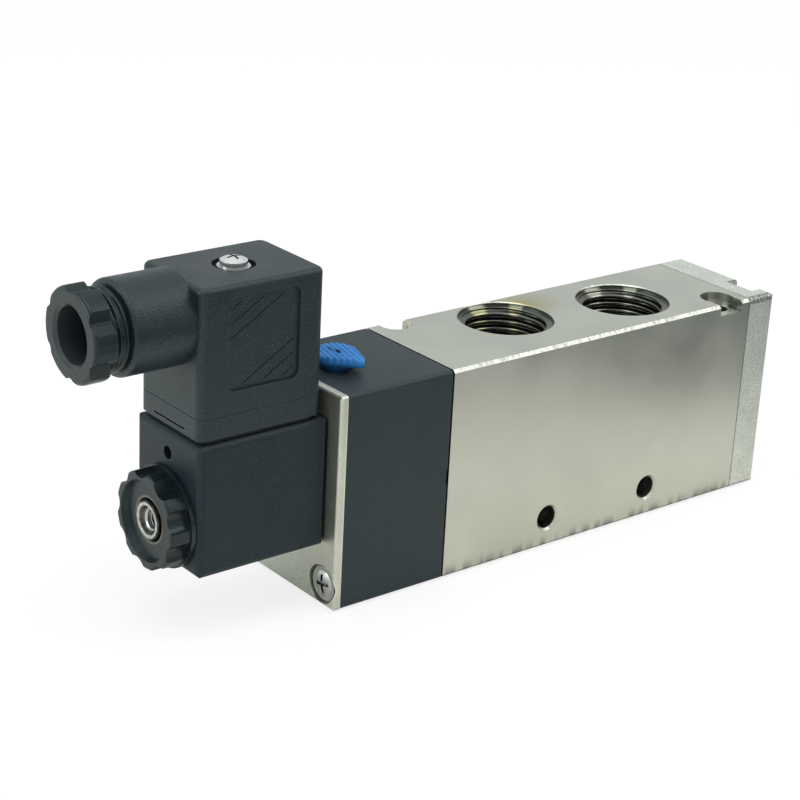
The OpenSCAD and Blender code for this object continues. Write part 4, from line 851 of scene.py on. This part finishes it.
class VALVE_OT_core_tube(bpy.types.Operator):
    """Finishes the core tube, core and armature, and cuts the M6 thread in the stub"""

    bl_idname = "valve.core_tube"
    bl_label = "Core tube and stub thread"

    def execute(self, context):
        dress("core_tube", "tube_seal", "fixed_core", "armature", "armature_seal",
              "armature_spring")
        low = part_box("fixed_core")[0]
        radii, depths, angles = inner_thread(
            root=2.5 * MM, crest=2.0 * MM, pitch=context.scene.valve_threads.stub_pitch,
            start=0.82 * MM, end=7.6 * MM, facets=72, back=0.05 * MM)
        points = np.stack([low.x + depths, radii * np.cos(angles),
                           AXIS_HEIGHT + radii * np.sin(angles)], axis=-1)
        solid_grid("thread_of_stub", points, "core_steel", "valve")
        return {"FINISHED"}


class VALVE_OT_coil(bpy.types.Operator):
    """Finishes the coil from its housing to its winding and blades, and the nut that holds it"""

    bl_idname = "valve.coil"
    bl_label = "Coil"

    def execute(self, context):
        dress("coil_housing", "coil_bobbin", "coil_winding", "coil_frame", "coil_seals",
              "terminal_blades", "screw_insert", "coil_nut", "nut_insert")
        return {"FINISHED"}


class VALVE_OT_connector(bpy.types.Operator):
    """Finishes the plug: its cover, gasket, terminal block and clamps"""

    bl_idname = "valve.connector"
    bl_label = "Connector"

    def execute(self, context):
        dress("connector_cover", "connector_gasket", "terminal_block", "terminal_clamps")
        return {"FINISHED"}


class VALVE_OT_cable_gland(bpy.types.Operator):
    """Finishes the cable gland and winds a thread on its nut's neck

    The radius is the neck's and the wave of length over pitch minus angle over a full turn,
    which comes in and runs out at its ends; two rows under the neck close the piece.
    """

    bl_idname = "valve.cable_gland"
    bl_label = "Cable gland"

    def execute(self, context):
        dress("gland_nut", "gland_washer", "gland_seal")
        sizes = context.scene.valve_threads
        low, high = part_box("gland_nut")
        neck_r, start, length, run_out, sunk = 8.38 * MM, 5.05 * MM, 3.4 * MM, 0.4 * MM, 0.2 * MM
        along = np.linspace(0, length, 48)[:, None]
        angle = np.linspace(0, 2 * np.pi, sizes.facets, endpoint=False)[None, :]
        ends = np.clip(np.minimum(along, length - along) / run_out, 0, 1)
        wave = thread_wave(along / sizes.gland_pitch - angle / (2 * np.pi))
        radius = neck_r + sizes.gland_rise * ends * wave
        radii = np.vstack([radius, np.full((2, sizes.facets), neck_r - sunk)])
        places = np.vstack([np.broadcast_to(along, radius.shape),
                            np.full((1, sizes.facets), length), np.zeros((1, sizes.facets))])
        points = np.stack([low.x + start + places, radii * np.cos(angle),
                           (low.z + high.z) / 2 + radii * np.sin(angle)], axis=-1)
        solid_grid("thread_of_gland_nut", points, "nut_plastic", "gland_set")
        return {"FINISHED"}


# ---------------------------------------------------------------- studio

CAMERA_PLACE = (-0.329432, -0.341180, 0.214276)
CAMERA_AHEAD = (0.589789, 0.717487, -0.370623)
CAMERA_RIGHT = (0.783805, -0.619085, 0.048819)
LIT_MIDDLE = (-0.03, 0.0, 0.03)  # what the lamps face
LAMP_DISTANCE = 0.9
FLOOR_RADIUS, FLOOR_CORNERS, FLOOR_DROP = 3.0, 96, 0.2 * MM
ROOM_LEVELS = ((0.0, 0.75), (0.3, 0.74), (0.5, 0.72), (0.75, 0.95), (1.0, 1.0))  # height, level
DARK_SIDE = (0.496, -0.868, 0.0)  # direction in which the floor turns dark in gloss
DARK_FROM = (0.118, 0.15)  # distances along it between which it does so
PALE_GLOSS, DARK_GLOSS = (1.0, 0.99, 0.93), (0.22, 0.24, 0.24)


def soft_lamp(name, direction, size, power, tint=(1.0, 1.0, 1.0)):
    """Square area lamp that stands off along a direction from the object's middle, facing it."""
    lamp = bpy.data.lights.new(name, "AREA")
    lamp.size = size
    lamp.energy = power
    lamp.color = tint
    holder = bpy.data.objects.new(name, lamp)
    bpy.context.scene.collection.objects.link(holder)
    away = Vector(direction).normalized()
    holder.location = Vector(LIT_MIDDLE) + away * LAMP_DISTANCE
    holder.rotation_euler = away.to_track_quat("Z", "Y").to_euler()


def rays(graph):
    """1 for rays from the camera and through glass, and 1 for rays that gloss reflects."""
    path = graph.nodes.new("ShaderNodeLightPath")
    straight = graph.maths("MAXIMUM", path.outputs["Is Camera Ray"],
                           path.outputs["Is Transmission Ray"])
    return straight, path.outputs["Is Glossy Ray"]


def light_room(studio):
    """White behind the object; in gloss, bright overhead and greyer near the horizon."""
    world = bpy.data.worlds.new("light_tent")
    bpy.context.scene.world = world
    graph = Graph(world)
    straight, gloss = rays(graph)
    place = graph.nodes.new("ShaderNodeTexCoord")
    height = graph.nodes.new("ShaderNodeSeparateXYZ")
    graph.links.new(place.outputs["Generated"], height.inputs["Vector"])
    ramp = graph.nodes.new("ShaderNodeValToRGB")
    for position, _ in ROOM_LEVELS[1:-1]:
        ramp.color_ramp.elements.new(position)
    for element, (position, level) in zip(ramp.color_ramp.elements, ROOM_LEVELS):
        element.position = position
        element.color = (level * 0.96, level, level, 1)
    graph.links.new(height.outputs["Z"], ramp.inputs["Fac"])
    in_gloss = graph.mixed(gloss, (studio.room,) * 3, ramp.outputs["Color"])
    shade = graph.nodes.new("ShaderNodeBackground")
    graph.feed(shade.inputs["Color"], graph.mixed(straight, in_gloss, (1.0, 1.0, 1.0)))
    graph.surface("ShaderNodeOutputWorld", shade.outputs["Background"])


def floor_finish(studio):
    """Pale matt floor: to the camera mostly plain white, and matt enough to keep the shadow.

    In gloss it is pale, and dark beyond a wavy line some way off on one side.
    """
    floor = bpy.data.materials.new("pale_floor")
    graph = Graph(floor)
    straight, gloss = rays(graph)
    matt = graph.nodes.new("ShaderNodeBsdfDiffuse")
    graph.feed(matt.inputs["Color"], studio.floor)
    white = graph.nodes.new("ShaderNodeEmission")
    white.inputs["Strength"].default_value = 1.1
    to_camera = graph.mixed_shader(graph.maths("MULTIPLY", straight, 0.7),
                                   matt.outputs["BSDF"], white.outputs["Emission"])
    place = graph.nodes.new("ShaderNodeTexCoord").outputs["Object"]
    clouds = graph.nodes.new("ShaderNodeTexNoise")
    clouds.inputs["Scale"].default_value = 18.0
    graph.links.new(place, clouds.inputs["Vector"])
    wavy = graph.maths("ADD", graph.maths("MULTIPLY", clouds.outputs["Fac"], 0.06),
                       graph.dot(place, DARK_SIDE))
    mirrored = graph.nodes.new("ShaderNodeBsdfDiffuse")
    graph.feed(mirrored.inputs["Color"],
               graph.mixed(graph.span(wavy, *DARK_FROM), PALE_GLOSS, DARK_GLOSS))
    graph.surface("ShaderNodeOutputMaterial",
                  graph.mixed_shader(gloss, to_camera, mirrored.outputs["BSDF"]))
    return floor


class VALVE_OT_stage(bpy.types.Operator):
    """Sets the pale floor, the soft light and the camera"""

    bl_idname = "valve.stage"
    bl_label = "Floor, light and camera"

    def execute(self, context):
        studio = context.scene.valve_studio
        angle = np.linspace(0, 2 * np.pi, FLOOR_CORNERS, endpoint=False)
        rim = np.stack([FLOOR_RADIUS * np.cos(angle), FLOOR_RADIUS * np.sin(angle),
                        np.full(FLOOR_CORNERS, CAD_BOX[0][2] - FLOOR_DROP)], axis=-1)
        mesh = bpy.data.meshes.new("floor")
        mesh.from_pydata(rim.tolist(), [], [list(range(FLOOR_CORNERS))])
        mesh.materials.append(floor_finish(studio))
        floor = bpy.data.objects.new("floor", mesh)
        context.scene.collection.objects.link(floor)
        light_room(studio)
        soft_lamp("key_light", (0.58, -0.375, 0.72), 0.55, studio.key_power)
        soft_lamp("top_light", (-0.25, -0.1, 1.0), 0.6, studio.top_power)
        soft_lamp("side_light", (-1.0, 0.35, 0.3), 0.5, studio.side_power, (0.82, 0.97, 1.0))
        right, ahead = Vector(CAMERA_RIGHT), Vector(CAMERA_AHEAD)
        upward = right.cross(ahead)
        camera = bpy.data.cameras.new("camera")
        camera.lens = studio.lens
        camera.sensor_width = 36.0
        camera.sensor_fit = "HORIZONTAL"
        camera.clip_start = 10 * MM
        holder = bpy.data.objects.new("camera", camera)
        turned = Matrix((right, upward, -ahead)).transposed().to_4x4()
        holder.matrix_world = Matrix.Translation(Vector(CAMERA_PLACE)) @ turned
        context.scene.collection.objects.link(holder)
        context.scene.camera = holder
        context.scene.view_settings.view_transform = "Standard"
        return {"FINISHED"}


OPERATORS = (
    VALVE_OT_stage,
    VALVE_OT_nickel_parts,
    VALVE_OT_port_threads,
    VALVE_OT_fasteners,
    VALVE_OT_pilot_block,
    VALVE_OT_spool_set,
    VALVE_OT_core_tube,
    VALVE_OT_coil,
    VALVE_OT_connector,
    VALVE_OT_cable_gland,
)
GROUPS = {
    "valve_metal": ValveMetalLooks,
    "valve_plastic": ValvePlasticLooks,
    "valve_threads": ValveThreadSizes,
    "valve_studio": ValveStudio,
}


class VALVE_PT_looks(bpy.types.Panel):
    """Lists the values of the valve and the steps that dress it"""

    bl_label = "Solenoid valve"
    bl_idname = "VALVE_PT_looks"
    bl_space_type = "VIEW_3D"
    bl_region_type = "UI"
    bl_category = "Valve"

    def draw(self, context):
        for group in GROUPS:
            box = self.layout.box()
            for name in GROUPS[group].__annotations__:
                box.prop(getattr(context.scene, group), name)
        for operator in OPERATORS:
            self.layout.operator(operator.bl_idname)


def register():
    for cls in (*GROUPS.values(), *OPERATORS, VALVE_PT_looks):
        bpy.utils.register_class(cls)
    for name, group in GROUPS.items():
        setattr(bpy.types.Scene, name, PointerProperty(type=group))


def unregister():
    for name in GROUPS:
        delattr(bpy.types.Scene, name)
    for cls in (VALVE_PT_looks, *OPERATORS, *GROUPS.values()):
        bpy.utils.unregister_class(cls)


def main():
    """Registers the add-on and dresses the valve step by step."""
    register()
    for operator in OPERATORS:
        group, name = operator.bl_idname.split(".")
        getattr(getattr(bpy.ops, group), name)()


if __name__ == "__main__":
    main()
